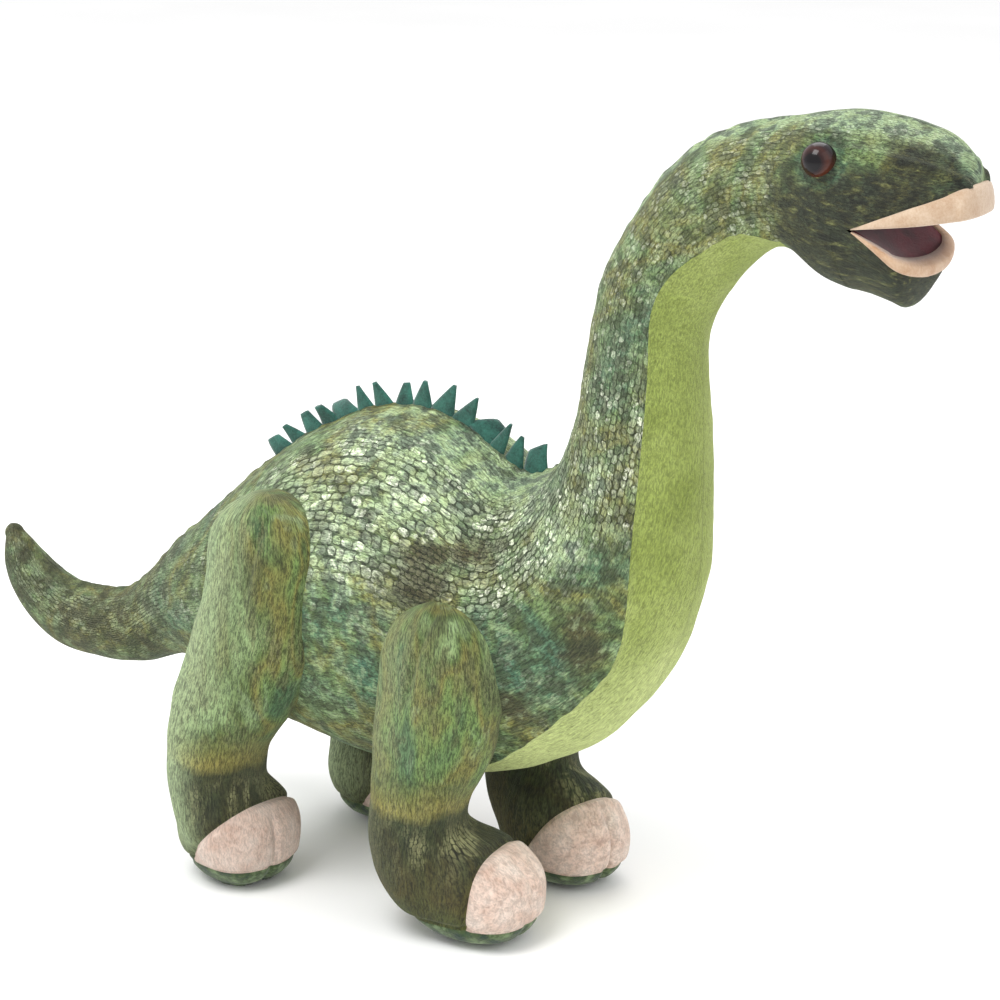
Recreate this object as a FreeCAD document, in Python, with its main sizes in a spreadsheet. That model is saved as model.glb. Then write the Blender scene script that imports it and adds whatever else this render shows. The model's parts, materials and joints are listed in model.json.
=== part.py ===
"""A standing plush sauropod dinosaur: printed plush panels over polyester stuffing, in millimetres.

Frame: +X towards the nose, +Y the animal's left, +Z up. The origin is on the floor, below the middle of
the bounding box.

One smooth loft runs from the tail tip through the trunk and the neck to the snout. An outer loft and a loft
one fabric thickness inside it give the plush shell and the stuffing. Each place where the toy flexes is a
hinge: the moving side ends in a drum about the hinge line, and the fixed side is cut back around that drum
with a wedge of relief for the swing.
"""
import FreeCAD
import Part
import math
import os

SHEET = "Sizes"
HUGE = 600  # edge of the cutting boxes, longer than the toy
SIDES = {"left": 1, "right": -1}

# Stations of the long loft, each an ellipse: centre x and z, direction of the spine towards the nose in
# degrees above +X, half height in the plane of symmetry, half width across.
STATIONS = {
    "tail_end": (-211, 110, -62, 4, 4),
    "tail_hook": (-208, 102, -58, 8, 7),
    "tail_bend": (-201, 92, -44, 11, 10),
    "tail_curve": (-185, 81, -22, 14, 12),
    "tail_low": (-163, 78, 0, 15, 14),
    "tail_mid": (-145, 81, 12, 16, 15),
    "tail_root": (-126, 92, 17, 20, 18),
    "rump": (-105, 100, 13, 30, 27),
    "haunch": (-83, 106, 8, 44, 37),
    "loin": (-55, 113, 5, 58, 48),
    "hump": (-17, 120, 1, 70, 55),
    "girth": (17, 118, 0, 68, 56),
    "shoulder": (43, 115, 4, 58, 52),
    "chest_low": (66, 125, 17, 51, 47),
    "chest": (81, 142, 31, 43, 41),
    "chest_high": (89, 162, 45, 36, 34),
    "neck_root": (92, 185, 60, 29, 28),
    "neck_low": (93, 207, 74, 25, 24),
    "neck_mid": (94, 228, 83, 22, 21),
    "neck_bend": (98, 247, 71, 22, 21),
    "neck_arch": (107, 264, 56, 22, 21),
    "neck_high": (120, 279, 40, 22, 21),
    "neck_top": (135, 289, 24, 22, 21),
    "nape": (148, 292, 10, 23, 22),
    "brow": (163, 291, -2, 28, 26),
    "cheek": (179, 288, -6, 31, 28),
    "muzzle": (195, 286, -4, 30, 25),
    "nose": (208, 286, -2, 26, 19),
    "snout": (215, 287, 0, 17, 12),
}

# The toy's long loft is made in three overlapping spans, from one station to another.
SPANS = {
    "trunk": ("tail_end", "neck_root"),
    "neck": ("chest", "neck_arch"),
    "head": ("neck_root", "snout"),
}

# Hinges on the spine: centre x and z, direction towards the moving side in degrees above +X, drum radius,
# wedge of relief in degrees.
HINGES = {
    "neck_pitch": (92, 178, 53, 23, 12),
    "neck_lean": (94, 224, 90, 15, 14),
    "head_nod": (139, 290, 18, 16, 17),
    "tail_swish": (-115, 96, 180, 17, 22),
    "tail_curl": (-163, 78, 180, 10, 22),
    "jaw_drop": (182, 283, 0, 4, 9),
}

# Mouth: directions of planes through the jaw hinge, in degrees above straight ahead.
MOUTH = {
    "roof_slope": 9,
    "lip_top_slope": 22,
    "floor_slope": -16,
    "lip_under_slope": -31,
    "jaw_back_slope": -100,
}

# Legs: centre x at the hip, hip height, how far the foot stands behind the hip, and the foot's own shift.
LEGS = {
    "front_right": (33, 109, 12, 0),
    "front_left": (33, 109, 12, 12),
    "hind_right": (-45, 138, 25, 4),
    "hind_left": (-45, 138, 25, -14),
}

# Leg stations: share of the hip height, half length and half width, and the share of the foot's offset.
LEG_LOOPS = {
    "front": ((0.86, 26, 19, 0.05), (0.68, 25, 19, 0.35), (0.5, 20, 19, 0.85), (0.34, 19.5, 19, 1.0),
              (0.2, 20.5, 19.5, 0.85), (0.09, 18, 17, 0.6)),
    "hind": (
        (0.88, 26, 19, 0.1), (0.72, 29, 19, 0.25), (0.56, 27, 19.5, 0.62), (0.42, 22, 19.5, 0.94),
        (0.28, 19.5, 19, 1.0), (0.16, 20.5, 19.5, 0.86), (0.07, 18, 17, 0.6)),
}
DOME_ANGLES = (80, 62, 42, 21, 0)

SIZES = {
    "plush": 1.6,            # thickness of plush fabric with its pile
    "felt": 2.0,             # thickness of the felt spikes
    "gap": 0.6,              # clearance between pieces that move past each other
    "seam_gap": 0.6,         # half the parting between left and right panels
    "drum_span": 160,        # length of the hinge drums, wider than the toy
    "lip_reach": 5,          # the lips start this far ahead of the jaw hinge
    "crown_half_width": 13,
    "crown_floor": 292,
    "seam_x": 104,            # side seam of the front panel on the lower neck
    "seam_slope": 41,        # slope of that seam under the upper neck
    "seam_bend_z": 238,
    "bib_drum_x": 27,        # the seam on the chest is an arc about this line
    "bib_drum_z": 168,
    "bib_drum_radius": 85,
    "bib_end_x": 15,
    "leg_line": 46,          # distance of each leg's middle from the plane of symmetry
    "leg_inner": 26.0,       # the trunk is cut back to this distance beside the legs
    "hip_radius": 26,
    "hip_half_width": 19,
    "pocket_clearance": 2,   # the trunk is cut back this far around the disc at the hip
    "pocket_spread": 5,      # and this far each side of the leg below it
    "pocket_depth": 150,
    "foot_length": 29,
    "foot_width": 21,
    "foot_height": 23,
    "foot_centre_z": 20,
    "sole_height": 7,
    "toe_in": 6,             # the feet stand this much closer together than the legs
    "toe_start": 6,          # the toe cap starts this far ahead of the foot's middle
    "toe_drop": 4,
    "toe_height": 39,
    "toe_tilt": 12,          # lean of the seam between toe cap and foot
    "eye_x": 169.5,
    "eye_y": 23.5,
    "eye_z": 305,
    "eye_radius": 6.2,
    "eye_flat": 20,
    "stem_radius": 2,
    "stem_length": 12,
    "washer_radius": 7,
    "washer_thickness": 1.5,
    "washer_y": 13,
    "spike_tall": 12,
    "spike_long": 10,
    "spike_root": 0.4,       # depth of the spikes in the seam
    "spike_tip": 0.01,
    "spike_gap": 0.1,        # clearance between the spikes and the panels beside them
}
FOOT_AHEAD = {"front": 16, "hind": -1}  # middle of the foot ahead of the ankle
FOOT_SHARE = 0.6      # share of the ankle's offset that the foot keeps
POCKET_SHARE = 0.9    # share of it that the trunk's pocket leans by
POCKET_SWINGS = (-16, 0, 16)  # turns of the pocket's strips that cover the leg's swing, in degrees
STEEP_DOME = 60       # above this angle the thigh's dome narrows as fast as it shortens
DOME_FULLNESS = 0.7   # below it, it narrows more slowly
SPIKE_RUN = ("haunch", "loin", "hump", "girth", "shoulder", "chest_low")
SPIKE_COUNT = 15
SPIKE_SHARES = (0.17, 0.96)  # where the first and the last spike stand along that run

doc = FreeCAD.newDocument("plush_sauropod")
sheet = doc.addObject("Spreadsheet::Sheet", SHEET)
cell_rows = {}
nodes = []


def cell(name, value):
    """Puts one driving dimension in the sheet."""
    row = len(cell_rows) + 1
    cell_rows[name] = row
    sheet.set(f"A{row}", name)
    sheet.set(f"B{row}", str(value))
    sheet.setAlias(f"B{row}", name)


def bind(obj, **expressions):
    """Binds properties to expressions, where a word that names a cell is that cell."""
    for prop, expression in expressions.items():
        obj.setExpression(prop, named(expression))
    return obj


def named(expression):
    words = []
    for word in str(expression).split():
        words.append(f"{SHEET}.{word}" if word in cell_rows else word)
    return " ".join(words)


def new(kind, name, **expressions):
    return bind(doc.addObject(f"Part::{kind}", name), **expressions)


def place(x, y, z, axis=(0, 1, 0), angle="0"):
    """A placement expression: a point and a turn about an axis."""
    spin = "; ".join(str(value) for value in axis)
    return f"placement( vector( {x} ; {y} ; {z} ) ; rotation( vector( {spin} ) ; {angle} ) )"


def slide(x, y, z):
    return place(x, y, z, (0, 0, 1), "0")


def boolean(kind, name, base, tool):
    result = doc.addObject(f"Part::{kind}", name)
    result.Base = base
    result.Tool = tool
    return result


def cut(name, base, tool):
    return boolean("Cut", name, base, tool)


def common(name, base, tool):
    return boolean("Common", name, base, tool)


def fuse(name, base, tool):
    return boolean("Fuse", name, base, tool)


def keep(obj, label):
    """Marks an object as a finished sub-part."""
    obj.Label = label
    nodes.append(obj)
    return obj


def fill_sheet():
    for name, (x, z, turn, tall, wide) in STATIONS.items():
        cell(f"{name}_x", x)
        cell(f"{name}_z", z)
        cell(f"{name}_turn", turn)
        cell(f"{name}_tall", tall)
        cell(f"{name}_wide", wide)
    for name, (x, z, turn, radius, relief) in HINGES.items():
        cell(f"{name}_x", x)
        cell(f"{name}_z", z)
        cell(f"{name}_turn", turn)
        cell(f"{name}_radius", radius)
        cell(f"{name}_relief", relief)
    for name, (x, hip, behind, shift) in LEGS.items():
        cell(f"{name}_x", x)
        cell(f"{name}_hip", hip)
        cell(f"{name}_behind", behind)
        cell(f"{name}_shift", shift)
    for table in (MOUTH, SIZES):
        for name, value in table.items():
            cell(name, value)
    doc.recompute()


def long_loft(name, span, inset):
    """The loft over one span of stations, with every ellipse smaller by the inset."""
    names = list(STATIONS)
    first, last = (names.index(end) for end in SPANS[span])
    draw_in = {"tail_end": f"-( {inset} )", "snout": inset}
    loops = []
    for station in names[first:last + 1]:
        aim = place(f"{station}_x", 0, f"{station}_z", angle=f"-( 90 + {station}_turn )")
        loops.append(new(
            "Ellipse", f"{name}_{station}",
            MajorRadius=f"{station}_tall - {inset}",
            MinorRadius=f"{station}_wide - {inset}",
            Placement=f"{aim} * {slide(0, 0, draw_in.get(station, '0'))}"))
    loft = doc.addObject("Part::Loft", name)
    loft.Sections = loops
    loft.Solid = True
    return loft


def half_space(name, x, z, slope, offset="0", axis=(0, 1, 0)):
    """Everything ahead of a plane through (x, z), whose normal points along the slope above +X."""
    aim = place(x, 0, z, axis, f"-( {slope} )")
    return new("Box", name, Length=HUGE, Width=HUGE, Height=HUGE,
               Placement=f"{aim} * {slide(offset, -HUGE / 2, -HUGE / 2)}")


def side_space(name, sign, from_y):
    """Everything on one side of the plane of symmetry beyond a distance from it."""
    edge = from_y if sign > 0 else f"-( {from_y} ) - {HUGE}"
    return new("Box", name, Length=2 * HUGE, Width=HUGE, Height=HUGE,
               Placement=slide(-HUGE, edge, 0))


def drum(name, x, z, radius, axis=(1, 0, 0)):
    """A cylinder about a hinge line: across the toy, or along or up when the axis says so."""
    turn = "-90" if axis == (1, 0, 0) else "90"
    aim = place(x, 0, z, axis, turn if axis != (0, 0, 1) else "0")
    return new("Cylinder", name, Radius=radius, Height="drum_span",
               Placement=f"{aim} * {slide(0, 0, 'drum_span / -2')}")


HINGE_AXES = {"tail_swish": "up", "neck_lean": "along"}
DRUM_TURN = {"across": (1, 0, 0), "along": (0, 1, 0), "up": (0, 0, 1)}


def hinge_regions(name):
    """The space of the moving side and of the fixed side of one hinge."""
    run = HINGE_AXES.get(name, "across")
    x, z, turn = f"{name}_x", f"{name}_z", f"{name}_turn"
    ahead = half_space(f"{name}_ahead", x, z, turn)
    knuckle = drum(f"{name}_knuckle", x, z, f"{name}_radius", DRUM_TURN[run])
    moving = fuse(f"{name}_moving", ahead, knuckle)
    backs = []
    for label, sign in (("upper", "+"), ("lower", "-")):
        if run == "across":
            back = half_space(f"{name}_{label}", x, z, f"{turn} + 180 {sign} {name}_relief")
        else:
            tilt = {"along": (1, 0, 0), "up": (0, 0, 1)}[run]
            aim = place(x, 0, z, tilt, f"0 {sign} {name}_relief")
            flip = place(0, 0, 0, (0, 1, 0), f"180 - {turn}")
            back = new("Box", f"{name}_{label}", Length=HUGE, Width=HUGE, Height=HUGE,
                       Placement=f"{aim} * {flip} * {slide(0, -HUGE / 2, -HUGE / 2)}")
        backs.append(back)
    both = common(f"{name}_backs", *backs)
    socket = drum(f"{name}_socket", x, z, f"{name}_radius + gap", DRUM_TURN[run])
    fixed = cut(f"{name}_fixed", both, socket)
    return moving, fixed


def mouth_space(name, *slopes):
    """The space ahead of several planes through the jaw hinge."""
    space = None
    for number, slope in enumerate(slopes):
        plane = half_space(f"{name}_{number}", "jaw_drop_x", "jaw_drop_z", slope)
        space = plane if space is None else common(f"{name}_common_{number}", space, plane)
    return space


def leg_loops(leg, name, inset):
    """Ellipses of one leg, from the top of the thigh down to the ankle."""
    kind = leg.split("_")[0]
    sign = SIDES[leg.split("_")[1]]
    y = f"{sign} * leg_line"
    loops = []
    for angle in DOME_ANGLES:
        reach = math.cos(math.radians(angle))
        rise = math.sin(math.radians(angle))
        narrow = reach if angle > STEEP_DOME else reach ** DOME_FULLNESS
        loops.append(new(
            "Ellipse", f"{name}_dome_{angle}",
            MajorRadius=f"( hip_radius - {inset} ) * {reach:.4f}",
            MinorRadius=f"( hip_half_width - {inset} ) * {narrow:.4f}",
            Placement=slide(f"{leg}_x", y, f"{leg}_hip + ( hip_radius - {inset} ) * {rise:.4f}")))
    for share, long, wide, back in LEG_LOOPS[kind]:
        loops.append(new(
            "Ellipse", f"{name}_at_{round(share * 100)}",
            MajorRadius=f"{long} - {inset}",
            MinorRadius=f"{wide} - {inset}",
            Placement=slide(
                f"{leg}_x - {leg}_behind * {back} - {leg}_shift * {1 - share:.2f}",
                y, f"{leg}_hip * {share}")))
    return loops


def leg_solid(leg, name, inset):
    """One leg with its foot, flattened at the floor."""
    kind = leg.split("_")[0]
    sign = SIDES[leg.split("_")[1]]
    loft = doc.addObject("Part::Loft", f"{name}_loft")
    loft.Sections = leg_loops(leg, name, inset)
    loft.Solid = True
    foot = new(
        "Ellipsoid", f"{name}_foot",
        Radius1=f"foot_height - {inset}",
        Radius2=f"foot_length - {inset}",
        Radius3=f"foot_width - {inset}",
        Placement=slide(foot_x(leg), f"{sign} * ( leg_line - toe_in )", "foot_centre_z"))
    whole = fuse(f"{name}_whole", loft, foot)
    floor = new("Box", f"{name}_floor", Length=HUGE, Width=HUGE, Height=HUGE,
                Placement=slide(-HUGE / 2, -HUGE / 2, f"{inset}"))
    return common(name, whole, floor)


def foot_x(leg):
    ahead = FOOT_AHEAD[leg.split("_")[0]]
    return f"{leg}_x - {leg}_behind * {FOOT_SHARE} - {leg}_shift + {ahead}"


def make_leg(leg):
    """Outer and inner panel, toe cap, sole and stuffing of one leg."""
    sign = SIDES[leg.split("_")[1]]
    block = leg_solid(leg, f"{leg}_outside", "0")
    inner = keep(leg_solid(leg, f"{leg}_inside", "plush"), f"{leg}_leg_stuffing")
    above = new("Box", f"{leg}_above", Length=HUGE, Width=HUGE, Height=HUGE,
                Placement=slide(-HUGE / 2, -HUGE / 2, "sole_height"))
    toes = new("Box", f"{leg}_toes", Length=HUGE, Width=HUGE, Height="toe_height",
               Placement=f"{place(f'{foot_x(leg)} + toe_start', 0, 0, (0, 1, 0), '-( toe_tilt )')}"
                         f" * {slide(0, -HUGE / 2, '-( toe_drop )')}")
    upper = common(f"{leg}_upper", block, above)
    ankle = cut(f"{leg}_ankle", upper, toes)
    outward = side_space(f"{leg}_outward", sign, "leg_line")
    pieces = {
        "sole": cut(f"{leg}_sole_block", block, above),
        "toe_cap": common(f"{leg}_toe_block", upper, toes),
        "leg_outer_panel": common(f"{leg}_outer_block", ankle, outward),
        "leg_inner_panel": cut(f"{leg}_inner_block", ankle, outward),
    }
    for label, piece in pieces.items():
        keep(cut(f"{leg}_{label}_hollow", piece, inner), f"{leg}_{label}")


def leg_pocket(leg):
    """Room in the trunk for one leg and its swing: a disc at the hip and a fan below it."""
    side = leg.split("_")[1]
    name = f"{leg}_pocket"
    disc = drum(f"{name}_disc", f"{leg}_x", f"{leg}_hip", "hip_radius + pocket_clearance")
    lean = f"atan( ( {leg}_behind * {POCKET_SHARE} + {leg}_shift ) / {leg}_hip )"
    fan = disc
    for number, swing in enumerate(POCKET_SWINGS):
        strip = new(
            "Box", f"{name}_strip_{number}", Length="( hip_radius + pocket_spread ) * 2", Width=HUGE,
            Height="pocket_depth",
            Placement=f"{place(f'{leg}_x', 0, f'{leg}_hip', (0, 1, 0), f'{lean} + {swing} * 1 deg')}"
                      f" * {slide('-( hip_radius + pocket_spread )', -HUGE / 2, '-( pocket_depth )')}")
        fan = fuse(f"{name}_fan_{number}", fan, strip)
    return common(name, fan, side_space(f"{name}_side", SIDES[side], "leg_inner"))


def back_line():
    """The curve along the top of the trunk, through the tops of the stations that carry spikes."""
    tops = []
    for station in SPIKE_RUN:
        x, z, turn, tall, _ = STATIONS[station]
        lift = math.radians(turn + 90)
        tops.append(FreeCAD.Vector(x + tall * math.cos(lift), 0, z + tall * math.sin(lift)))
    line = Part.BSplineCurve()
    line.interpolate(tops)
    return line


def make_spikes():
    """A row of felt triangles standing along the back seam."""
    line = back_line()
    begin, end = (line.length() * share for share in SPIKE_SHARES)
    row = None
    for number in range(SPIKE_COUNT):
        along = line.parameterAtDistance(begin + (end - begin) * number / (SPIKE_COUNT - 1))
        foot = line.value(along)
        ahead = line.tangent(along)[0]
        slope = math.degrees(math.atan2(ahead.z, ahead.x))
        spike = new("Wedge", f"spike_{number}", Xmin="0", Xmax="spike_long", Ymin="0",
                    Ymax="spike_tall", Zmin="0", Zmax="felt", X2min="spike_long / 2",
                    X2max="spike_long / 2 + spike_tip", Z2min="0", Z2max="felt")
        aim = place(f"{foot.x:.1f}", 0, f"{foot.z:.1f}", (0, 1, 0), f"{-slope:.1f}")
        stand = place(0, 0, 0, (1, 0, 0), "90")
        back_to_root = slide('spike_long / -2', '-( spike_root )', 'felt / -2')
        bind(spike, Placement=f"{aim} * {stand} * {back_to_root}")
        row = spike if row is None else fuse(f"spike_row_{number}", row, spike)
    keep(row, "back_spikes")


def make_eye(side):
    """A domed safety eye with its stem, the washer that locks it, and the room they take."""
    sign = SIDES[side]
    centre = slide("eye_x", f"{sign} * eye_y", "eye_z")
    ball = new("Sphere", f"eye_{side}_ball", Radius="eye_radius", Placement=centre)
    outside = side_space(f"eye_{side}_outside", sign, "eye_flat")
    dome = common(f"eye_{side}_dome", ball, outside)
    inward = place("eye_x", f"{sign} * eye_y", "eye_z", (1, 0, 0), f"{sign} * 90")
    stem = new("Cylinder", f"eye_{side}_stem", Radius="stem_radius", Height="stem_length",
               Placement=inward)
    eye = keep(fuse(f"eye_{side}_whole", dome, stem), f"eye_{side}")
    seat = place("eye_x", f"{sign} * washer_y", "eye_z", (1, 0, 0), f"{sign} * 90")
    plate = new("Cylinder", f"washer_{side}_plate", Radius="washer_radius",
                Height="washer_thickness", Placement=seat)
    bore = new("Cylinder", f"washer_{side}_bore", Radius="stem_radius", Height="washer_thickness",
               Placement=seat)
    keep(cut(f"washer_{side}_cut", plate, bore), f"eye_washer_{side}")
    return fuse(f"eye_{side}_room", eye, plate)


def make_cores(span):
    """The outer solid and the stuffing solid over one span."""
    return long_loft(f"{span}_outside", span, "0"), long_loft(f"{span}_inside", span, "plush")


def mirror(name, obj):
    """The same piece on the right side."""
    twin = doc.addObject("Part::Mirroring", name)
    twin.Source = obj
    twin.Normal = FreeCAD.Vector(0, 1, 0)
    return twin


def make_segment(body, outer, inner, region, panel_space=None):
    """Stuffing, left and right panels and, where asked for, a front panel of one stretch."""
    keep(common(f"{body}_core", inner, region), f"{body}_stuffing")
    block = common(f"{body}_block", outer, region)
    if panel_space is not None:
        front = common(f"{body}_front_block", block, panel_space)
        keep(cut(f"{body}_front_cut", front, inner), f"{body}_front_panel")
        block = cut(f"{body}_side_block", block, panel_space)
    left = side_panel(body, "left", block, inner, "seam_gap")
    keep(mirror(f"{body}_right_cut", left), f"{body}_panel_right")


def side_panel(body, side, block, inner, parting):
    """The shell of one side of a stretch, from its parting line outwards."""
    half = side_space(f"{body}_half_{side}", SIDES[side], parting)
    side_block = common(f"{body}_{side}_block", block, half)
    return keep(cut(f"{body}_{side}_cut", side_block, inner), f"{body}_panel_{side}")


def make_trunk(region, outer, inner):
    """Trunk with its lime bib, cut back beside the legs; its side panels meet at the felt spikes."""
    pockets = None
    for leg in LEGS:
        pocket = leg_pocket(leg)
        pockets = pocket if pockets is None else fuse(f"pockets_to_{leg}", pockets, pocket)
    room = cut("trunk_room", region, pockets)
    arc = drum("bib_arc", "bib_drum_x", "bib_drum_z", "bib_drum_radius")
    bib_front = half_space("bib_front", "bib_end_x", 0, "0")
    bib = cut("bib_space", bib_front, arc)
    keep(common("trunk_core", inner, room), "trunk_stuffing")
    block = common("trunk_block", outer, room)
    keep(cut("bib_cut", common("bib_block", block, bib), inner), "trunk_front_panel")
    sides = cut("trunk_sides", block, bib)
    for side in SIDES:
        side_panel("trunk", side, sides, inner, "felt / 2 + spike_gap")
    make_spikes()


def make_head(region, outer, inner):
    """Skull with crown, cheeks, cream upper lip, palate lining, stuffing and eyes."""
    gape = mouth_space("gape", "roof_slope - 90", "jaw_back_slope - jaw_drop_relief + 90")
    jaw_room = drum("jaw_room", "jaw_drop_x", "jaw_drop_z", "jaw_drop_radius + gap")
    skull_space = cut("skull_space", cut("skull_open", region, gape), jaw_room)
    lip_band = mouth_space("upper_lip_band", "lip_top_slope - 90", "0")
    block = common("skull_block", outer, skull_space)
    keep(cut("upper_lip_cut", common("upper_lip_block", block, lip_band), inner), "upper_lip")
    bare = cut("skull_bare", block, lip_band)
    above = half_space("crown_above", 0, "crown_floor", "90")
    middle = common("crown_middle", side_space("crown_left", 1, "-( crown_half_width )"),
                    side_space("crown_right", -1, "-( crown_half_width )"))
    crown = common("crown_space", above, middle)
    keep(cut("crown_cut", common("crown_block", bare, crown), inner), "crown_gusset")
    cheeks = cut("cheek_block", bare, crown)
    lining_top = half_space("lining_top", "jaw_drop_x", "jaw_drop_z", "roof_slope - 90", "-( plush )")
    ahead = half_space("lining_ahead", "jaw_drop_x + lip_reach", "jaw_drop_z", "0")
    filling = common("skull_filling", inner, skull_space)
    lined = common("palate_space", lining_top, ahead)
    keep(common("palate_cut", filling, lined), "palate_lining")
    stuffing = cut("skull_core", filling, lined)
    for side, sign in SIDES.items():
        half = side_space(f"head_half_{side}", sign, "seam_gap")
        room = make_eye(side)
        cheek = cut(f"cheek_{side}_hollow", common(f"cheek_{side}_block", cheeks, half), inner)
        keep(cut(f"cheek_{side}", cheek, room), f"head_panel_{side}")
        stuffing = cut(f"skull_core_{side}", stuffing, room)
    keep(stuffing, "head_stuffing")


def make_jaw(outer, inner):
    """Lower jaw with its printed chin, cream lip, mouth lining and stuffing."""
    below = mouth_space("jaw_block", "floor_slope - 90", "jaw_back_slope + 90")
    knuckle = drum("jaw_knuckle", "jaw_drop_x", "jaw_drop_z", "jaw_drop_radius")
    space = fuse("jaw_space", below, knuckle)
    block = common("jaw_solid", outer, space)
    lip_band = half_space("lower_lip_band", "jaw_drop_x", "jaw_drop_z", "lip_under_slope + 90")
    ahead = half_space("lower_lip_ahead", "jaw_drop_x + lip_reach", "jaw_drop_z", "0")
    lip_space = common("lower_lip_space", lip_band, ahead)
    keep(cut("lower_lip_cut", common("lower_lip_block", block, lip_space), inner), "lower_lip")
    keep(cut("chin_cut", cut("chin_block", block, lip_space), inner), "chin_panel")
    filling = common("jaw_filling", inner, space)
    lining = half_space("jaw_lining", "jaw_drop_x", "jaw_drop_z", "floor_slope + 90", "-( plush )")
    lined = common("jaw_lined", lining, ahead)
    keep(common("mouth_lining_cut", filling, lined), "mouth_lining")
    keep(cut("jaw_core", filling, lined), "jaw_stuffing")


def report_and_write():
    """Stops on any failed object, then writes each sub-part's shape to its own file."""
    failed = [obj.Name for obj in doc.Objects if {"Invalid", "Error"} & set(obj.State)]
    bad = [obj.Label for obj in nodes if obj.Shape.isNull() or not obj.Shape.isValid()]
    if failed or bad:
        raise SystemExit(f"failed objects: {failed}, bad shapes: {bad}")
    os.makedirs("parts", exist_ok=True)
    for obj in nodes:
        solids = obj.Shape.Solids
        print(f"{obj.Label:28} {len(solids)} solids {obj.Shape.Volume / 1000:9.2f} cm3")
        obj.Shape.exportStep(f"parts/{obj.Label}.step")


fill_sheet()
moving = {}
fixed = {}
for hinge in ("tail_curl", "tail_swish", "neck_pitch", "neck_lean", "head_nod"):
    moving[hinge], fixed[hinge] = hinge_regions(hinge)
REGIONS = {
    "tail_tip": moving["tail_curl"],
    "tail_base": common("tail_base_space", moving["tail_swish"], fixed["tail_curl"]),
    "trunk": common("trunk_space", fixed["tail_swish"], fixed["neck_pitch"]),
    "neck_lower": common("neck_lower_space", moving["neck_pitch"], fixed["neck_lean"]),
    "neck_upper": common("neck_upper_space", moving["neck_lean"], fixed["head_nod"]),
    "head": moving["head_nod"],
}
trunk = make_cores("trunk")
neck = make_cores("neck")
head = make_cores("head")
lower_seam = half_space("lower_seam", "seam_x", "seam_bend_z", "0")
upper_seam = half_space("upper_seam", "seam_x", "seam_bend_z", "seam_slope - 90")
make_segment("tail_tip", *trunk, REGIONS["tail_tip"])
make_segment("tail_base", *trunk, REGIONS["tail_base"])
make_trunk(REGIONS["trunk"], *trunk)
make_segment("neck_lower", *neck, REGIONS["neck_lower"], lower_seam)
make_segment("neck_upper", *head, REGIONS["neck_upper"], upper_seam)
make_head(REGIONS["head"], *head)
make_jaw(*head)
for leg in LEGS:
    make_leg(leg)
doc.recompute()
report_and_write()
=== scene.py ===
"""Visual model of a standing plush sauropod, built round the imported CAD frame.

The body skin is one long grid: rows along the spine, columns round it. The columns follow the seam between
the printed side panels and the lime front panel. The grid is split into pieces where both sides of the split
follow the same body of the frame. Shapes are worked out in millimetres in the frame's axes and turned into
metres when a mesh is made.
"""
import bmesh
import bpy
import json
import math
import numpy as np
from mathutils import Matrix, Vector, noise


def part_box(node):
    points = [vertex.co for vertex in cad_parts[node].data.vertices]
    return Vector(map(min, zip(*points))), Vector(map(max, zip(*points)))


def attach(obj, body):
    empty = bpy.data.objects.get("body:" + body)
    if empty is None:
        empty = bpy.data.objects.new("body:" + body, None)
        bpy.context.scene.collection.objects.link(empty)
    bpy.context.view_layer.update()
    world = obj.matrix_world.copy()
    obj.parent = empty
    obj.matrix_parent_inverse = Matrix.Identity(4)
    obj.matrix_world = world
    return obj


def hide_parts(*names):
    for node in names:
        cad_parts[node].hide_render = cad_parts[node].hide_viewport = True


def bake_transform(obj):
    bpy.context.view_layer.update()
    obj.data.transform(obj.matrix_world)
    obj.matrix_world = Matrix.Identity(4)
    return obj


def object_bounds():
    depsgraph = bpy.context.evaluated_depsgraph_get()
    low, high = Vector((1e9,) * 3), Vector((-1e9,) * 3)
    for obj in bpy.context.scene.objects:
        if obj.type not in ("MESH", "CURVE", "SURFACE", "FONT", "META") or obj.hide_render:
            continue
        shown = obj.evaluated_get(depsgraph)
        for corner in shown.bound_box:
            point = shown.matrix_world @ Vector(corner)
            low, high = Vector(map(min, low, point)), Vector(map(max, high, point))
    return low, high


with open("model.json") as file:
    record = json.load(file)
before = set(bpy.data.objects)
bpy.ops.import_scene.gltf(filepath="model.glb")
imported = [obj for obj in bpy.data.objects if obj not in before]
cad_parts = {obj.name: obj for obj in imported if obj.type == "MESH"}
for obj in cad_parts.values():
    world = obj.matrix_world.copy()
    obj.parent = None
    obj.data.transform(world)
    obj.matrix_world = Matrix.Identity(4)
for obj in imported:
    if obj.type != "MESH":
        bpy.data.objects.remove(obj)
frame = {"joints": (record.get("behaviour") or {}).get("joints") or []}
CAD_BOX = [list(corner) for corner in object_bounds()]
MM = 0.001
JOINT = {j["name"]: np.array(j["pos_m"]) / MM for j in frame["joints"]}

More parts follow.
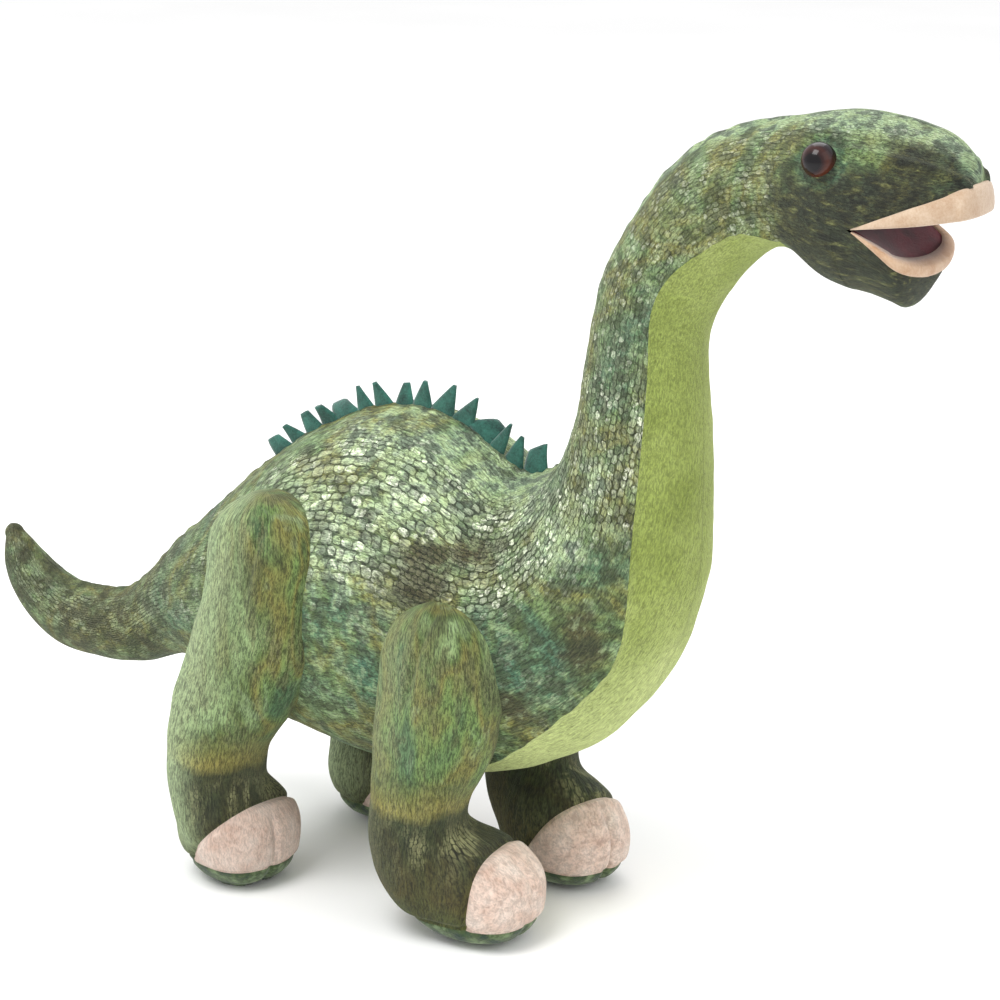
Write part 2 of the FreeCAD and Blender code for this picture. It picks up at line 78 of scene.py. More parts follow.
# Stations along the spine: centre x and z, direction towards the nose in degrees above +X, half height
# above and below the spine, half width, angle of the front panel's seam from the back line, scale size.
STATIONS = np.array([
    (-211, 110, -62, 4, 4, 4, 160, 2.8),
    (-208, 102, -58, 8, 8, 7, 160, 2.9),
    (-201, 92, -44, 11, 11, 10, 160, 3.1),
    (-185, 81, -22, 14, 14, 12, 160, 3.4),
    (-163, 78, 0, 15, 15, 14, 160, 3.6),
    (-145, 81, 12, 16, 16, 15, 160, 3.8),
    (-126, 92, 17, 20, 20, 18, 160, 4.0),
    (-105, 100, 13, 30, 30, 27, 160, 4.3),
    (-83, 106, 8, 44, 44, 37, 162, 4.6),
    (-55, 113, 5, 58, 58, 48, 168, 5.3),
    (-17, 120, 1, 70, 70, 55, 177, 6.2),
    (17, 118, 0, 68, 68, 56, 160, 5.8),
    (43, 115, 4, 58, 58, 52, 144, 5.2),
    (66, 125, 17, 51, 51, 47, 132, 4.6),
    (81, 142, 31, 43, 43, 41, 133, 4.3),
    (89, 162, 45, 36, 36, 34, 120, 4.0),
    (92, 185, 60, 29, 29, 28, 115, 3.8),
    (93, 207, 74, 25, 25, 24, 115, 3.6),
    (94, 228, 83, 22, 22, 21, 115, 3.4),
    (98, 247, 71, 22, 22, 21, 109, 3.4),
    (107, 264, 56, 22, 22, 21, 109, 3.3),
    (120, 279, 40, 22, 22, 21, 118, 3.2),
    (135, 289, 24, 22, 22, 21, 126, 3.1),
    (148, 292, 10, 23, 23, 22, 142, 3.1),
    (163, 291, -2, 28, 28, 26, 150, 3.1),
    (179, 288, -6, 31, 31, 28, 150, 3.3),
    (195, 286, -4, 30, 31, 25.5, 150, 3.3),
    (208, 286, -2, 26, 30, 20.5, 150, 3.1),
    (215, 287, 0, 20, 22, 14, 150, 2.9),
], float)
STEP = 1.5             # row spacing along the spine
SIDE_COLUMNS = 92      # columns of one side panel
FRONT_COLUMNS = 34     # columns of half the front panel
TAIL_CAP = 4.0         # rounding beyond the last tail station
SNOUT_CAP = 4.0
JAW_END = 196.0        # the lower jaw is rounded off ahead of this x
JAW_CAP = 8.0
CHIN_LAP = 1.4         # the chin panel laps this far back over the head
CHIN_LIFT = 0.15       # and stands this proud of it
LIME_TAIL_X = -17.0    # the front panel runs out here, between the legs
LIME_HEAD_X = 148.0    # and ends at the throat seam here
CHIN_X = 176.0         # the chin panel starts here
TAIL_SPLIT_X = -140.0  # where the tail piece meets the rump piece
CHEST_STATION, NECK_STATION, ARCH_STATION = 13, 17, 19   # stations where the neck is split into pieces
SPIKE_STATION = 8      # the spikes stand on the back between this station and the chest


def spline(knots, values, at):
    """Natural cubic spline through the values."""
    count = len(knots)
    h = np.diff(knots)
    matrix = np.eye(count)
    right = np.zeros((count,) + values.shape[1:])
    for i in range(1, count - 1):
        matrix[i, i - 1:i + 2] = (h[i - 1], 2 * (h[i - 1] + h[i]), h[i])
        right[i] = 6 * ((values[i + 1] - values[i]) / h[i] - (values[i] - values[i - 1]) / h[i - 1])
    bend = np.linalg.solve(matrix, right)
    k = np.clip(np.searchsorted(knots, at) - 1, 0, count - 2)
    width = h[k][:, None]
    a = (knots[k + 1] - at)[:, None] / width
    b = (at - knots[k])[:, None] / width
    curve = (a ** 3 - a) * bend[k] + (b ** 3 - b) * bend[k + 1]
    return a * values[k] + b * values[k + 1] + curve * width ** 2 / 6


def smooth(low, high, value):
    """Eased step from 0 at low to 1 at high; low may be the larger."""
    t = np.clip((value - low) / (high - low), 0, 1)
    return t * t * (3 - 2 * t)


def srgb(red, green, blue):
    """Linear colour from 0-255 display values."""
    linear = [((v / 255 + 0.055) / 1.055) ** 2.4 if v > 10 else v / 3295 for v in (red, green, blue)]
    return (*linear, 1.0)


def ridge(distance, height, width):
    """Height of a rounded ridge, or depth of a groove, at a distance from its middle line."""
    return height * np.exp(-(distance / width) ** 2)


def lumps(points, size, seed):
    """Smooth noise about -1 to 1 at points in mm, with lumps of that size."""
    shifted = points.reshape(-1, 3) / size + seed * 7.3
    return np.array([noise.noise(Vector(p)) for p in shifted]).reshape(points.shape[:-1])


class Rows:
    """Sections of the long body between two spine lengths, with rounded ends where caps are asked for."""

    def __init__(self, start, end, tail_cap=0.0, nose_cap=0.0):
        xs = np.append(0, np.cumsum(np.hypot(*np.diff(STATIONS[:, :2], axis=0).T)))
        self.knots = xs
        count = max(2, int(round((end - start) / STEP)) + 1)
        s = np.linspace(start, end, count)
        turn = np.radians(np.linspace(89, 6, 14))
        before = np.sort(-np.sin(turn)) * tail_cap if tail_cap else np.array([])
        after = np.sort(np.sin(turn)) * nose_cap if nose_cap else np.array([])
        shrink = np.ones(count + len(before) + len(after))
        if tail_cap:
            shrink[:len(before)] = np.sqrt(1 - (before / tail_cap) ** 2)
        if nose_cap:
            shrink[len(shrink) - len(after):] = np.sqrt(1 - (after / nose_cap) ** 2)
        at = np.concatenate((np.full(len(before), start), s, np.full(len(after), end)))
        beyond = np.concatenate((before, np.zeros(count), after))
        v = spline(self.knots, STATIONS, at)
        self.s = at + beyond
        self.dir = np.radians(v[:, 2])
        self.x = v[:, 0] + beyond * np.cos(self.dir)
        self.z = v[:, 1] + beyond * np.sin(self.dir)
        self.up = v[:, 3] * shrink
        self.low = v[:, 4] * shrink
        self.wide = v[:, 5] * shrink
        self.split = np.radians(v[:, 6])
        self.cell = v[:, 7]

    def points(self, theta):
        """Surface points for theta[row, column], measured from the back line, positive to the left."""
        c = np.cos(theta)
        half = np.where(c > 0, self.up[:, None], self.low[:, None]) * c
        x = self.x[:, None] - half * np.sin(self.dir)[:, None]
        z = self.z[:, None] + half * np.cos(self.dir)[:, None]
        return np.stack((x, self.wide[:, None] * np.sin(theta), z), -1)


def spine_at_x(x):
    """Spine length of the section whose centre is at x, behind the neck or ahead of it."""
    base = Rows(0, 1).knots
    s = np.linspace(base[0], base[-1], 4000)
    xs = spline(base, STATIONS, s)[:, 0]
    return float(s[np.argmin(np.abs(xs - x))])


def new_mesh(name, points, faces):
    """A smooth-shaded mesh object from points in mm."""
    mesh = bpy.data.meshes.new(name)
    corners = [tuple(int(i) for i in face) for face in faces]
    mesh.from_pydata([tuple(p) for p in np.asarray(points) * MM], [], corners)
    mesh.validate()
    obj = bpy.data.objects.new(name, mesh)
    bpy.context.scene.collection.objects.link(obj)
    mesh.polygons.foreach_set("use_smooth", np.ones(len(mesh.polygons), bool))
    return obj


def grid_faces(rows, count):
    """Quads of a grid with that many rows of faces and that many vertices in a row."""
    i = np.arange(rows)[:, None] * count + np.arange(count - 1)[None, :]
    return np.stack((i, i + 1, i + count + 1, i + count), -1).reshape(-1, 4)


def loft_faces(levels, around):
    """Faces of a closed loft: quads between levels of that many vertices, and a cap at each end."""
    faces = []
    for i in range(levels - 1):
        for j in range(around):
            k = (j + 1) % around
            faces.append((i * around + j, i * around + k, (i + 1) * around + k, (i + 1) * around + j))
    faces.append(tuple(range(around - 1, -1, -1)))
    faces.append(tuple((levels - 1) * around + j for j in range(around)))
    return faces


def set_attribute(obj, name, kind, values):
    """Stores one value or vector for each vertex."""
    attribute = obj.data.attributes.get(name) or obj.data.attributes.new(name, kind, "POINT")
    key = "vector" if kind == "FLOAT_VECTOR" else "value"
    attribute.data.foreach_set(key, np.asarray(values, np.float32).ravel())


def vertex_array(obj):
    """Vertex places in mm."""
    co = np.zeros(len(obj.data.vertices) * 3, np.float32)
    obj.data.vertices.foreach_get("co", co)
    return co.reshape(-1, 3).astype(float) / MM


def normal_array(obj):
    """Vertex normals."""
    values = np.zeros(len(obj.data.vertices) * 3, np.float32)
    obj.data.vertices.foreach_get("normal", values)
    return values.reshape(-1, 3).astype(float)


def set_vertices(obj, points):
    """Moves the vertices to places in mm."""
    obj.data.vertices.foreach_set("co", (points * MM).astype(np.float32).ravel())
    obj.data.update()


def set_rest(obj):
    """Keeps the places as they are now, in metres, for the materials."""
    set_attribute(obj, "rest", "FLOAT_VECTOR", vertex_array(obj) * MM)


def edit_mesh(obj, change):
    """Runs change(bm) on the object's mesh."""
    bm = bmesh.new()
    bm.from_mesh(obj.data)
    change(bm)
    bm.to_mesh(obj.data)
    bm.free()


def turn_faces_out(obj):
    """Turns all face normals of a closed mesh outwards."""
    edit_mesh(obj, lambda bm: bmesh.ops.recalc_face_normals(bm, faces=bm.faces))


def use_kept_normals(mesh):
    """Makes the normals stored with the vertices the shading normals."""
    keep = np.zeros(len(mesh.vertices) * 3, np.float32)
    mesh.attributes["normal_keep"].data.foreach_get("vector", keep)
    keep = keep.reshape(-1, 3)
    keep /= np.maximum(np.linalg.norm(keep, axis=1, keepdims=True), 1e-9)
    mesh.normals_split_custom_set_from_vertices([tuple(v) for v in keep])
    mesh.attributes.remove(mesh.attributes["normal_keep"])


def finish_piece(obj, material, nodes=()):
    """Gives a piece its material in one slot, and hides the CAD parts that it replaces."""
    obj.data.materials.clear()
    obj.data.materials.append(material)
    if nodes:
        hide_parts(*nodes)
    return obj


# ---------------------------------------------------------------- shader building


class Net:
    """A small wrapper for building a material's node tree."""

    def __init__(self, name):
        self.material = bpy.data.materials.new(name)
        self.material.use_nodes = True
        self.tree = self.material.node_tree
        self.shader = self.tree.nodes["Principled BSDF"]

    def put(self, socket, value):
        """Links a socket to the input, or sets the input to a plain value."""
        if isinstance(value, bpy.types.NodeSocket):
            self.tree.links.new(value, socket)
        else:
            socket.default_value = value

    def node(self, kind, inputs=(), **props):
        """A new shader node with its properties set and its inputs filled."""
        made = self.tree.nodes.new("ShaderNode" + kind)
        for key, value in props.items():
            setattr(made, key, value)
        for key, value in dict(inputs).items():
            self.put(made.inputs[key], value)
        return made

    def math(self, operation, a, b=0.0, c=0.0):
        return self.node("Math", {0: a, 1: b, 2: c}, operation=operation).outputs[0]

    def vmath(self, operation, a, b=(0, 0, 0)):
        return self.node("VectorMath", {0: a, 1: b}, operation=operation).outputs[0]

    def mix(self, share, a, b, blend="MIX"):
        made = self.node("Mix", data_type="RGBA", blend_type=blend)
        self.put(made.inputs[0], share)
        self.put(made.inputs[6], a)
        self.put(made.inputs[7], b)
        return made.outputs[2]

    def mix_part(self, share, amount, a, b):
        """Mix of two colours by a share that reaches the amount at most."""
        return self.mix(self.math("MULTIPLY", share, amount), a, b)

    def step(self, value, low, high, to_low=0.0, to_high=1.0):
        """Eased step of a value between two limits."""
        made = self.node("MapRange", {0: value, 1: low, 2: high, 3: to_low, 4: to_high},
                         interpolation_type="SMOOTHSTEP")
        return made.outputs[0]

    def attribute(self, name, output="Vector"):
        return self.node("Attribute", attribute_name=name).outputs[output]

    def noise(self, vector, scale, detail=3.0, rough=0.55, distortion=0.0):
        made = self.node("TexNoise", {"Vector": vector, "Scale": scale, "Detail": detail, "Roughness": rough,
                                      "Distortion": distortion})
        return made.outputs[0]

    def ramp(self, value, stops):
        """Colour from a list of (place, colour) stops."""
        made = self.node("ValToRGB", {0: value})
        elements = made.color_ramp.elements
        while len(elements) < len(stops):
            elements.new(0.5)
        for element, (place, colour) in zip(elements, stops):
            element.position = place
            element.color = colour
        return made.outputs[0]

    def bump(self, height, distance, strength=1.0, normal=None):
        made = self.node("Bump", {"Height": height, "Distance": distance, "Strength": strength})
        if normal is not None:
            self.put(made.inputs["Normal"], normal)
        return made.outputs[0]

    def finish(self, colour, rough, normal=None, **uniform):
        """Fills the shader and gives back the material; keywords are shader inputs with spaces as _."""
        self.put(self.shader.inputs["Base Color"], colour)
        self.put(self.shader.inputs["Roughness"], rough)
        if normal is not None:
            self.put(self.shader.inputs["Normal"], normal)
        for key, value in uniform.items():
            self.shader.inputs[key.replace("_", " ")].default_value = value
        return self.material


def pile(net, cells, along, across):
    """Fibre noise of a short pile, drawn out along the first direction of the cells."""
    lying = net.vmath("MULTIPLY", cells, (along, across, 1.0))
    coarse = net.noise(lying, 1.0, 2.0, 0.6, 0.7)
    fine = net.noise(lying, 2.7, 2.0, 0.7, 0.4)
    return net.math("MULTIPLY_ADD", coarse, 0.55, net.math("MULTIPLY", fine, 0.45))


def scale_cells(net, cells, scale=1.0):
    """Printed scales as rounded bricks in wavy rows: how far inside a scale, and two random values for it."""
    sized = net.vmath("MULTIPLY", cells, (scale, scale, 1.0))
    bend = net.node("TexNoise", {"Vector": sized, "Scale": 0.45, "Detail": 2.0}).outputs[1]
    wavy = net.vmath("ADD", sized, net.vmath("MULTIPLY", bend, (1.2, 1.5, 0.0)))
    parts = net.node("SeparateXYZ", {0: wavy})
    row = net.math("FLOOR", parts.outputs[1])
    along = net.math("ADD", parts.outputs[0], net.math("MULTIPLY", row, 0.47))
    place = net.node("CombineXYZ", {0: net.math("FLOOR", along), 1: row}).outputs[0]
    random = net.node("TexWhiteNoise", {"Vector": place}, noise_dimensions="2D").outputs["Color"]
    pick = net.node("SeparateColor", {0: random})
    chance, tint = pick.outputs[0], pick.outputs[1]
    half = net.math("MULTIPLY_ADD", pick.outputs[2], 0.12, 0.40)
    fit = []
    for value, room in ((along, 0.04), (parts.outputs[1], 0.0)):
        off = net.math("ABSOLUTE", net.math("SUBTRACT", net.math("FRACT", value), 0.5))
        share = net.math("DIVIDE", off, net.math("ADD", half, room))
        fit.append(net.math("POWER", share, 2.8))
    inside = net.step(net.math("ADD", fit[0], fit[1]), 1.25, 0.62)
    return inside, chance, tint


SAGE = srgb(98, 122, 74)
OLIVE = srgb(120, 118, 58)
TEAL = srgb(52, 98, 80)
MINT = srgb(168, 192, 144)
PALE = srgb(214, 226, 192)
BLUE_GREY = srgb(154, 182, 162)
BROWN = srgb(66, 60, 34)
OUTLINE = srgb(40, 50, 22)
MUZZLE = srgb(26, 26, 14)
# near white of the foil: its own colour and a painted highlight of its shine
FOIL_AND_HIGHLIGHT = srgb(244, 248, 224)


def shaded(net, colour, tone):
    """The colour times a grey tone."""
    grey = net.node("CombineColor", {0: tone, 1: tone, 2: tone}).outputs[0]
    return net.mix(1.0, colour, grey, "MULTIPLY")


def scale_material(name):
    """Short plush printed with scales over a mottled dye, with foil on some of the scales painted near white in
    spots as a painted highlight, and a painted highlight at the shoulder dip among the pale areas.
    """
    net = Net(name)
    rest = net.attribute("rest")
    cells = net.attribute("cells")
    look = net.node("SeparateXYZ", {0: net.attribute("look")})  # back to belly, scale print, dark face
    zones = net.node("SeparateXYZ", {0: net.attribute("zones")})  # brown, teal and pale areas, the pale ones with a painted highlight at the shoulder dip
    share, strength, darkness = look.outputs[0], look.outputs[1], look.outputs[2]
    large = net.noise(rest, 24.0, 3.0, 0.62, 0.8)
    ragged = net.noise(net.vmath("ADD", rest, (3.1, 1.7, 5.2)), 95.0, 3.0, 0.65, 0.5)
    small = net.noise(net.vmath("ADD", rest, (8.4, 2.2, 1.9)), 160.0, 3.0, 0.65)

    def area(channel):
        """A dye area, or the painted highlight at the shoulder dip among the pale areas, with a ragged edge."""
        edge = net.math("MULTIPLY_ADD", ragged, 2.4, -1.2)
        return net.step(net.math("ADD", zones.outputs[channel], edge), 0.10, 0.90)

    brown, teal, pale = area(0), area(1), area(2)
    dye = net.ramp(large, [(0.34, srgb(72, 104, 78)), (0.44, SAGE), (0.54, OLIVE), (0.62, SAGE),
                           (0.72, srgb(104, 132, 96))])
    dye = net.mix_part(teal, 0.62, dye, TEAL)
    # pale areas: mint and blue grey dye, and at the shoulder dip the same colours as a painted highlight
    pale_dye_and_highlight = net.mix(net.step(small, 0.42, 0.62), MINT, BLUE_GREY)
    dye = net.mix_part(pale, 0.78, dye, pale_dye_and_highlight)
    dye = net.mix_part(brown, 0.85, dye, BROWN)
    dye = net.mix_part(net.step(small, 0.47, 0.58), 0.68, dye, srgb(46, 54, 26))
    dye = net.mix_part(net.step(small, 0.46, 0.36), 0.40, dye, srgb(154, 172, 128))
    inside, chance, tint = scale_cells(net, cells)
    small_inside, small_chance = scale_cells(net, cells, scale=1.7)[:2]
    fine = net.math("MAXIMUM", brown, net.step(share, 0.20, 0.13))
    fine = net.step(net.math("MAXIMUM", fine, darkness), 0.4, 0.6)
    inside = net.mix(fine, inside, small_inside)
    chance = net.mix(fine, chance, small_chance)
    light = net.mix(net.math("MULTIPLY_ADD", tint, 0.30, 0.04), dye, PALE)
    light = shaded(net, light, net.math("MULTIPLY_ADD", chance, 0.34, 0.80))
    light = net.mix_part(brown, 0.68, light, BROWN)
    line = net.mix(0.58, dye, OUTLINE)
    printed = net.mix(inside, line, light)
    shown = net.math("MULTIPLY", strength, net.step(small, 0.26, 0.44))
    colour = net.mix(shown, dye, printed)
    brushed = net.noise(net.vmath("MULTIPLY", rest, (0.3, 1.0, 1.0)), 420.0, 3.0, 0.6, 0.4)
    face = net.ramp(brushed, [(0.38, srgb(12, 12, 8)), (0.50, MUZZLE), (0.60, srgb(58, 56, 28)),
                              (0.70, srgb(106, 108, 62))])
    face = net.mix_part(net.math("MULTIPLY", inside, chance), 0.30, face, srgb(74, 84, 64))
    face_edge = net.math("MULTIPLY_ADD", ragged, 1.6, -0.8)
    ragged_face = net.step(net.math("ADD", darkness, face_edge), 0.15, 0.85)
    colour = net.mix_part(ragged_face, 0.94, colour, face)
    # foil print on some scales, painted near white in spots as a painted highlight of its shine
    spark = net.noise(rest, 700.0, 2.0, 0.6)
    lit = net.math("MULTIPLY", net.step(chance, 0.45, 0.70), net.step(spark, 0.44, 0.58))
    foil_and_highlight = net.math("MULTIPLY", net.math("MULTIPLY", lit, net.step(inside, 0.55, 0.95)), strength)
    foil_and_highlight = net.math("MULTIPLY", foil_and_highlight, net.step(ragged, 0.44, 0.56))
    foil_and_highlight = net.math("MULTIPLY", foil_and_highlight, net.step(net.math("MAXIMUM", darkness, brown), 0.5, 0.2))
    colour = net.mix_part(foil_and_highlight, 0.6, colour, FOIL_AND_HIGHLIGHT)
    fibre = pile(net, cells, 1.3, 3.4)
    colour = shaded(net, colour, net.step(fibre, 0.39, 0.61, 0.42, 1.54))
    relief = net.math("MULTIPLY", inside, strength)
    normal = net.bump(relief, 0.0008)
    normal = net.bump(fibre, 0.0012, 0.9, normal)
    rough = net.math("MULTIPLY_ADD", foil_and_highlight, -0.4, 0.82)
    return net.finish(colour, rough, normal, Sheen_Weight=0.12, Sheen_Roughness=0.4,
                      Sheen_Tint=srgb(225, 238, 200))


def lime_material():
    """Lime velour: even colour, lighter at the bottom as painted light from the floor, a visible pile, a pale
    sheen where it turns away.
    """
    net = Net("lime_velour")
    rest = net.attribute("rest")
    cells = net.attribute("cells")
    fibre = pile(net, cells, 1.5, 3.2)
    broad = net.noise(rest, 26.0, 3.0, 0.6)
    colour = net.ramp(broad, [(0.3, srgb(118, 132, 58)), (0.52, srgb(136, 150, 76)),
                              (0.72, srgb(156, 168, 98))])
    height = net.node("SeparateXYZ", {0: rest}).outputs[2]
    # painted light: the lowest part is lightened, as if lit from the white floor
    colour = net.mix_part(net.step(height, 0.14, 0.08), 0.55, colour, srgb(190, 202, 138))
    speck = net.step(net.noise(rest, 620.0, 2.0, 0.6), 0.54, 0.70)
    colour = net.mix_part(speck, 0.45, colour, srgb(96, 106, 42))
    colour = shaded(net, colour, net.step(fibre, 0.38, 0.62, 0.66, 1.36))
    return net.finish(colour, 0.9, net.bump(fibre, 0.0009, 0.8), Sheen_Weight=0.55, Sheen_Roughness=0.32,
                      Sheen_Tint=srgb(226, 236, 170))


def leg_material(name, far=False):
    """Mottled leg plush with an ochre band, a dark band, an olive brown foot and a painted highlight on the
    side facing backwards; with far set, it is darkened as painted shade for the legs on the far side.
    """
    net = Net(name)
    rest = net.attribute("rest")
    cells = net.attribute("cells")
    look = net.node("SeparateXYZ", {0: net.attribute("look")})  # height share, scale print, painted highlight on the side facing backwards
    height, strength, rear_highlight = look.outputs[0], look.outputs[1], look.outputs[2]
    flow = net.vmath("MULTIPLY", rest, (1.0, 1.0, 0.36))
    large = net.noise(flow, 52.0, 2.0, 0.55, 0.3)
    patch = net.noise(net.vmath("ADD", flow, (5.1, 2.7, 1.2)), 95.0, 3.0, 0.62, 0.5)
    dye = net.ramp(large, [(0.34, srgb(66, 96, 62)), (0.44, srgb(98, 122, 66)), (0.52, srgb(110, 108, 54)),
                           (0.60, srgb(84, 102, 54)), (0.70, srgb(124, 146, 98))])
    dye = net.mix_part(net.step(patch, 0.50, 0.62), 0.7, dye, srgb(62, 68, 34))
    dye = net.mix_part(net.step(patch, 0.44, 0.30), 0.4, dye, srgb(138, 158, 120))
    wavy = net.math("MULTIPLY_ADD", net.noise(rest, 70.0, 3.0, 0.6), 0.09, height)
    bands = net.ramp(wavy, [(0.08, srgb(58, 68, 30)), (0.24, srgb(62, 54, 24)), (0.40, srgb(32, 30, 16)),
                            (0.50, srgb(38, 42, 22)), (0.545, srgb(124, 116, 58)), (0.60, srgb(106, 108, 54)),
                            (0.65, srgb(78, 94, 50))])
    colour = net.mix(net.step(wavy, 0.70, 0.60), dye, net.mix(0.88, dye, bands))
    inside = scale_cells(net, cells, scale=1.5)[0]
    shown = net.math("MULTIPLY", inside, net.math("MULTIPLY", strength, net.step(patch, 0.44, 0.58)))
    colour = net.mix_part(shown, 0.55, colour, srgb(158, 158, 112))
    # painted highlight: the side facing backwards is paled
    colour = net.mix_part(rear_highlight, 0.75, colour, srgb(150, 168, 126))
    fibre = pile(net, cells, 1.0, 3.6)
    colour = shaded(net, colour, net.step(fibre, 0.39, 0.61, 0.40, 1.50))
    # painted shade: darkens the colour of the legs on the far side, as if in shadow
    if far:
        colour = net.mix(0.35, colour, srgb(34, 50, 36))
    return net.finish(colour, 0.88, net.bump(fibre, 0.0012, 0.9), Sheen_Weight=0.14, Sheen_Roughness=0.45,
                      Sheen_Tint=srgb(225, 238, 200))


def toe_material():
    """Pinkish cream toe plush with a longer, tufted pile."""
    net = Net("toe_plush")
    rest = net.attribute("rest")
    cells = net.attribute("cells")
    fibre = pile(net, cells, 1.6, 3.2)
    broad = net.noise(rest, 120.0, 3.0, 0.6)
    colour = net.ramp(broad, [(0.32, srgb(192, 164, 148)), (0.5, srgb(206, 184, 170)),
                              (0.7, srgb(216, 200, 188))])
    colour = shaded(net, colour, net.step(fibre, 0.38, 0.62, 0.76, 1.16))
    return net.finish(colour, 0.95, net.bump(fibre, 0.0012, 0.9), Sheen_Weight=0.4, Sheen_Roughness=0.5,
                      Sheen_Tint=srgb(250, 236, 226))


def felt_material(name, dark, light):
    """Matt felt between two tones of one dye."""
    net = Net(name)
    rest = net.attribute("rest")
    fine = net.noise(rest, 1300.0, 3.0, 0.7)
    broad = net.noise(rest, 130.0, 3.0, 0.6)
    mixed = net.math("MULTIPLY_ADD", fine, 0.4, net.math("MULTIPLY", broad, 0.6))
    colour = net.ramp(mixed, [(0.36, dark), (0.62, light)])
    return net.finish(colour, 0.95, net.bump(fine, 0.0004, 0.6), Sheen_Weight=0.35, Sheen_Roughness=0.5)


def sole_material():
    """Mottled dark green plush under the feet."""
    net = Net("printed_sole")
    rest = net.attribute("rest")
    patch = net.noise(rest, 180.0, 3.0, 0.65)
    fibre = net.noise(rest, 1000.0, 2.0, 0.6)
    colour = net.ramp(patch, [(0.35, srgb(34, 56, 40)), (0.5, srgb(66, 84, 48)), (0.64, srgb(112, 132, 92))])
    return net.finish(colour, 0.9, net.bump(fibre, 0.0006, 0.7), Sheen_Weight=0.2)


def eye_material():
    """Dark brown safety eye: black pupil, brown iris, an amber rim painted on the lower side as painted light
    through the eye, under a glossy coat.
    """
    net = Net("eye_gloss")
    across = net.attribute("iris", "Fac")
    low = net.attribute("painted_light_side", "Fac")
    ring = net.ramp(across, [(0.0, srgb(6, 4, 8)), (0.46, srgb(10, 6, 10)), (0.56, srgb(36, 17, 18)),
                             (0.80, srgb(56, 28, 24)), (0.93, srgb(34, 22, 26)), (1.0, srgb(16, 12, 18))])
    # painted light: an amber glow on the lit lower side of the iris
    painted_glow = net.math("MULTIPLY", net.step(across, 0.55, 0.82), low)
    colour = net.mix_part(painted_glow, 0.40, ring, srgb(112, 58, 36))
    return net.finish(colour, 0.2, Coat_Weight=0.3, Coat_Roughness=0.03, IOR=1.25)


def floor_material():
    """Nearly white floor."""
    net = Net("floor_white")
    geometry = net.node("NewGeometry").outputs[0]
    grain = net.noise(geometry, 3.0, 2.0, 0.5)
    colour = net.ramp(grain, [(0.3, srgb(248, 248, 248)), (0.7, srgb(252, 252, 252))])
    return net.finish(colour, 0.9)


MATERIALS = {
    "scale": scale_material("scale_print"),
    "lime": lime_material(),
    "leg": leg_material("leg_plush"),
    "far_leg": leg_material("far_leg_plush"),
    "toe": toe_material(),
    "spike": felt_material("spike_felt", srgb(16, 52, 46), srgb(52, 110, 96)),
    "lip": felt_material("lip_felt", srgb(176, 146, 118), srgb(200, 178, 154)),
    "low_lip": felt_material("lower_lip_felt", srgb(172, 130, 94), srgb(196, 168, 140)),
    "mouth": felt_material("mouth_lining", srgb(66, 6, 24), srgb(108, 12, 38)),
    "sole": sole_material(),
    "eye": eye_material(),
}

# ---------------------------------------------------------------- the long body


def ring_angles(rows):
    """theta[row, column] once round, from the back line down the left side and up the right one."""
    u = np.linspace(0, 1, SIDE_COLUMNS + 1)[None, :]
    v = np.linspace(0, 1, FRONT_COLUMNS + 1)[None, 1:]
    seam = rows.split[:, None]
    half = np.concatenate((u * seam, seam + v * (math.pi - seam)), 1)
    return np.concatenate((half, -half[:, -2:0:-1]), 1)


def eye_spheres():
    """Centre and radius of the dome of each eye, in mm, from its box in the frame."""
    found = {}
    for side in ("left", "right"):
        low, high = (np.array(c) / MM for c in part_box("eye_" + side))
        radius = (high[0] - low[0]) / 2
        y = high[1] - radius if side == "left" else low[1] + radius
        found[side] = (np.array([(low[0] + high[0]) / 2, y, (low[2] + high[2]) / 2]), radius)
    return found


EYES = eye_spheres()


def body_relief(rows, theta, points, lime_rows):
    """How far the skin stands out from the plain sections: seams, puckers, stuffing lumps, folds."""
    radius = np.sqrt((rows.low[:, None] * np.sin(theta)) ** 2 + (rows.wide[:, None] * np.cos(theta)) ** 2)
    s = rows.s[:, None]
    small = np.clip(radius / 20, 0.15, 1.0)
    lump = lumps(points, 34.0, 1) * 1.1 + lumps(points, 15.0, 2) * 0.45 + lumps(points, 7.0, 3) * 0.18
    out = lump * small
    wave = lumps(points, 9.0, 4) * 3.0
    seam = np.abs(np.abs(theta) - rows.split[:, None]) * radius
    on = lime_rows[:, None]
    out -= on * (ridge(seam, 1.5, 1.6) + ridge(seam, 0.5, 6.0))
    out += on * 0.35 * np.exp(-seam / 6.0) * np.sin(2 * math.pi * s / 8.5 + wave)
    back = np.abs(theta) * radius
    head = smooth(137, 155, points[..., 0])
    out -= (1 - head) * (ridge(back, 1.0, 1.6) + ridge(back, 0.4, 7.0)) * small
    out += (1 - head) * 0.3 * np.exp(-back / 7.0) * np.sin(2 * math.pi * s / 9.5 + wave) * small
    under = (math.pi - np.abs(theta)) * radius
    out -= (1 - on) * (1 - head) * ridge(under, 0.9, 1.6) * small
    for centre, _ in EYES.values():
        away = np.linalg.norm(points - centre, axis=-1)
        out -= 2.4 * np.exp(-(away / 5.6) ** 4)
        out += ridge(away - 8.6, 1.3, 1.9)
    brow = np.abs(np.abs(theta) - math.radians(47)) * radius
    ahead = smooth(173, 181, points[..., 0])
    out -= ahead * ridge(brow, 1.0, 1.5)
    out += ahead * ridge(brow - 4, 0.7, 3.0)
    return out


def grid_normals(points):
    """Unit normals of a grid whose columns close round."""
    across = np.roll(points, -1, 1) - np.roll(points, 1, 1)
    normal = np.cross(across, np.gradient(points, axis=0))
    length = np.linalg.norm(normal, axis=-1, keepdims=True)
    return normal / np.maximum(length, 1e-9)


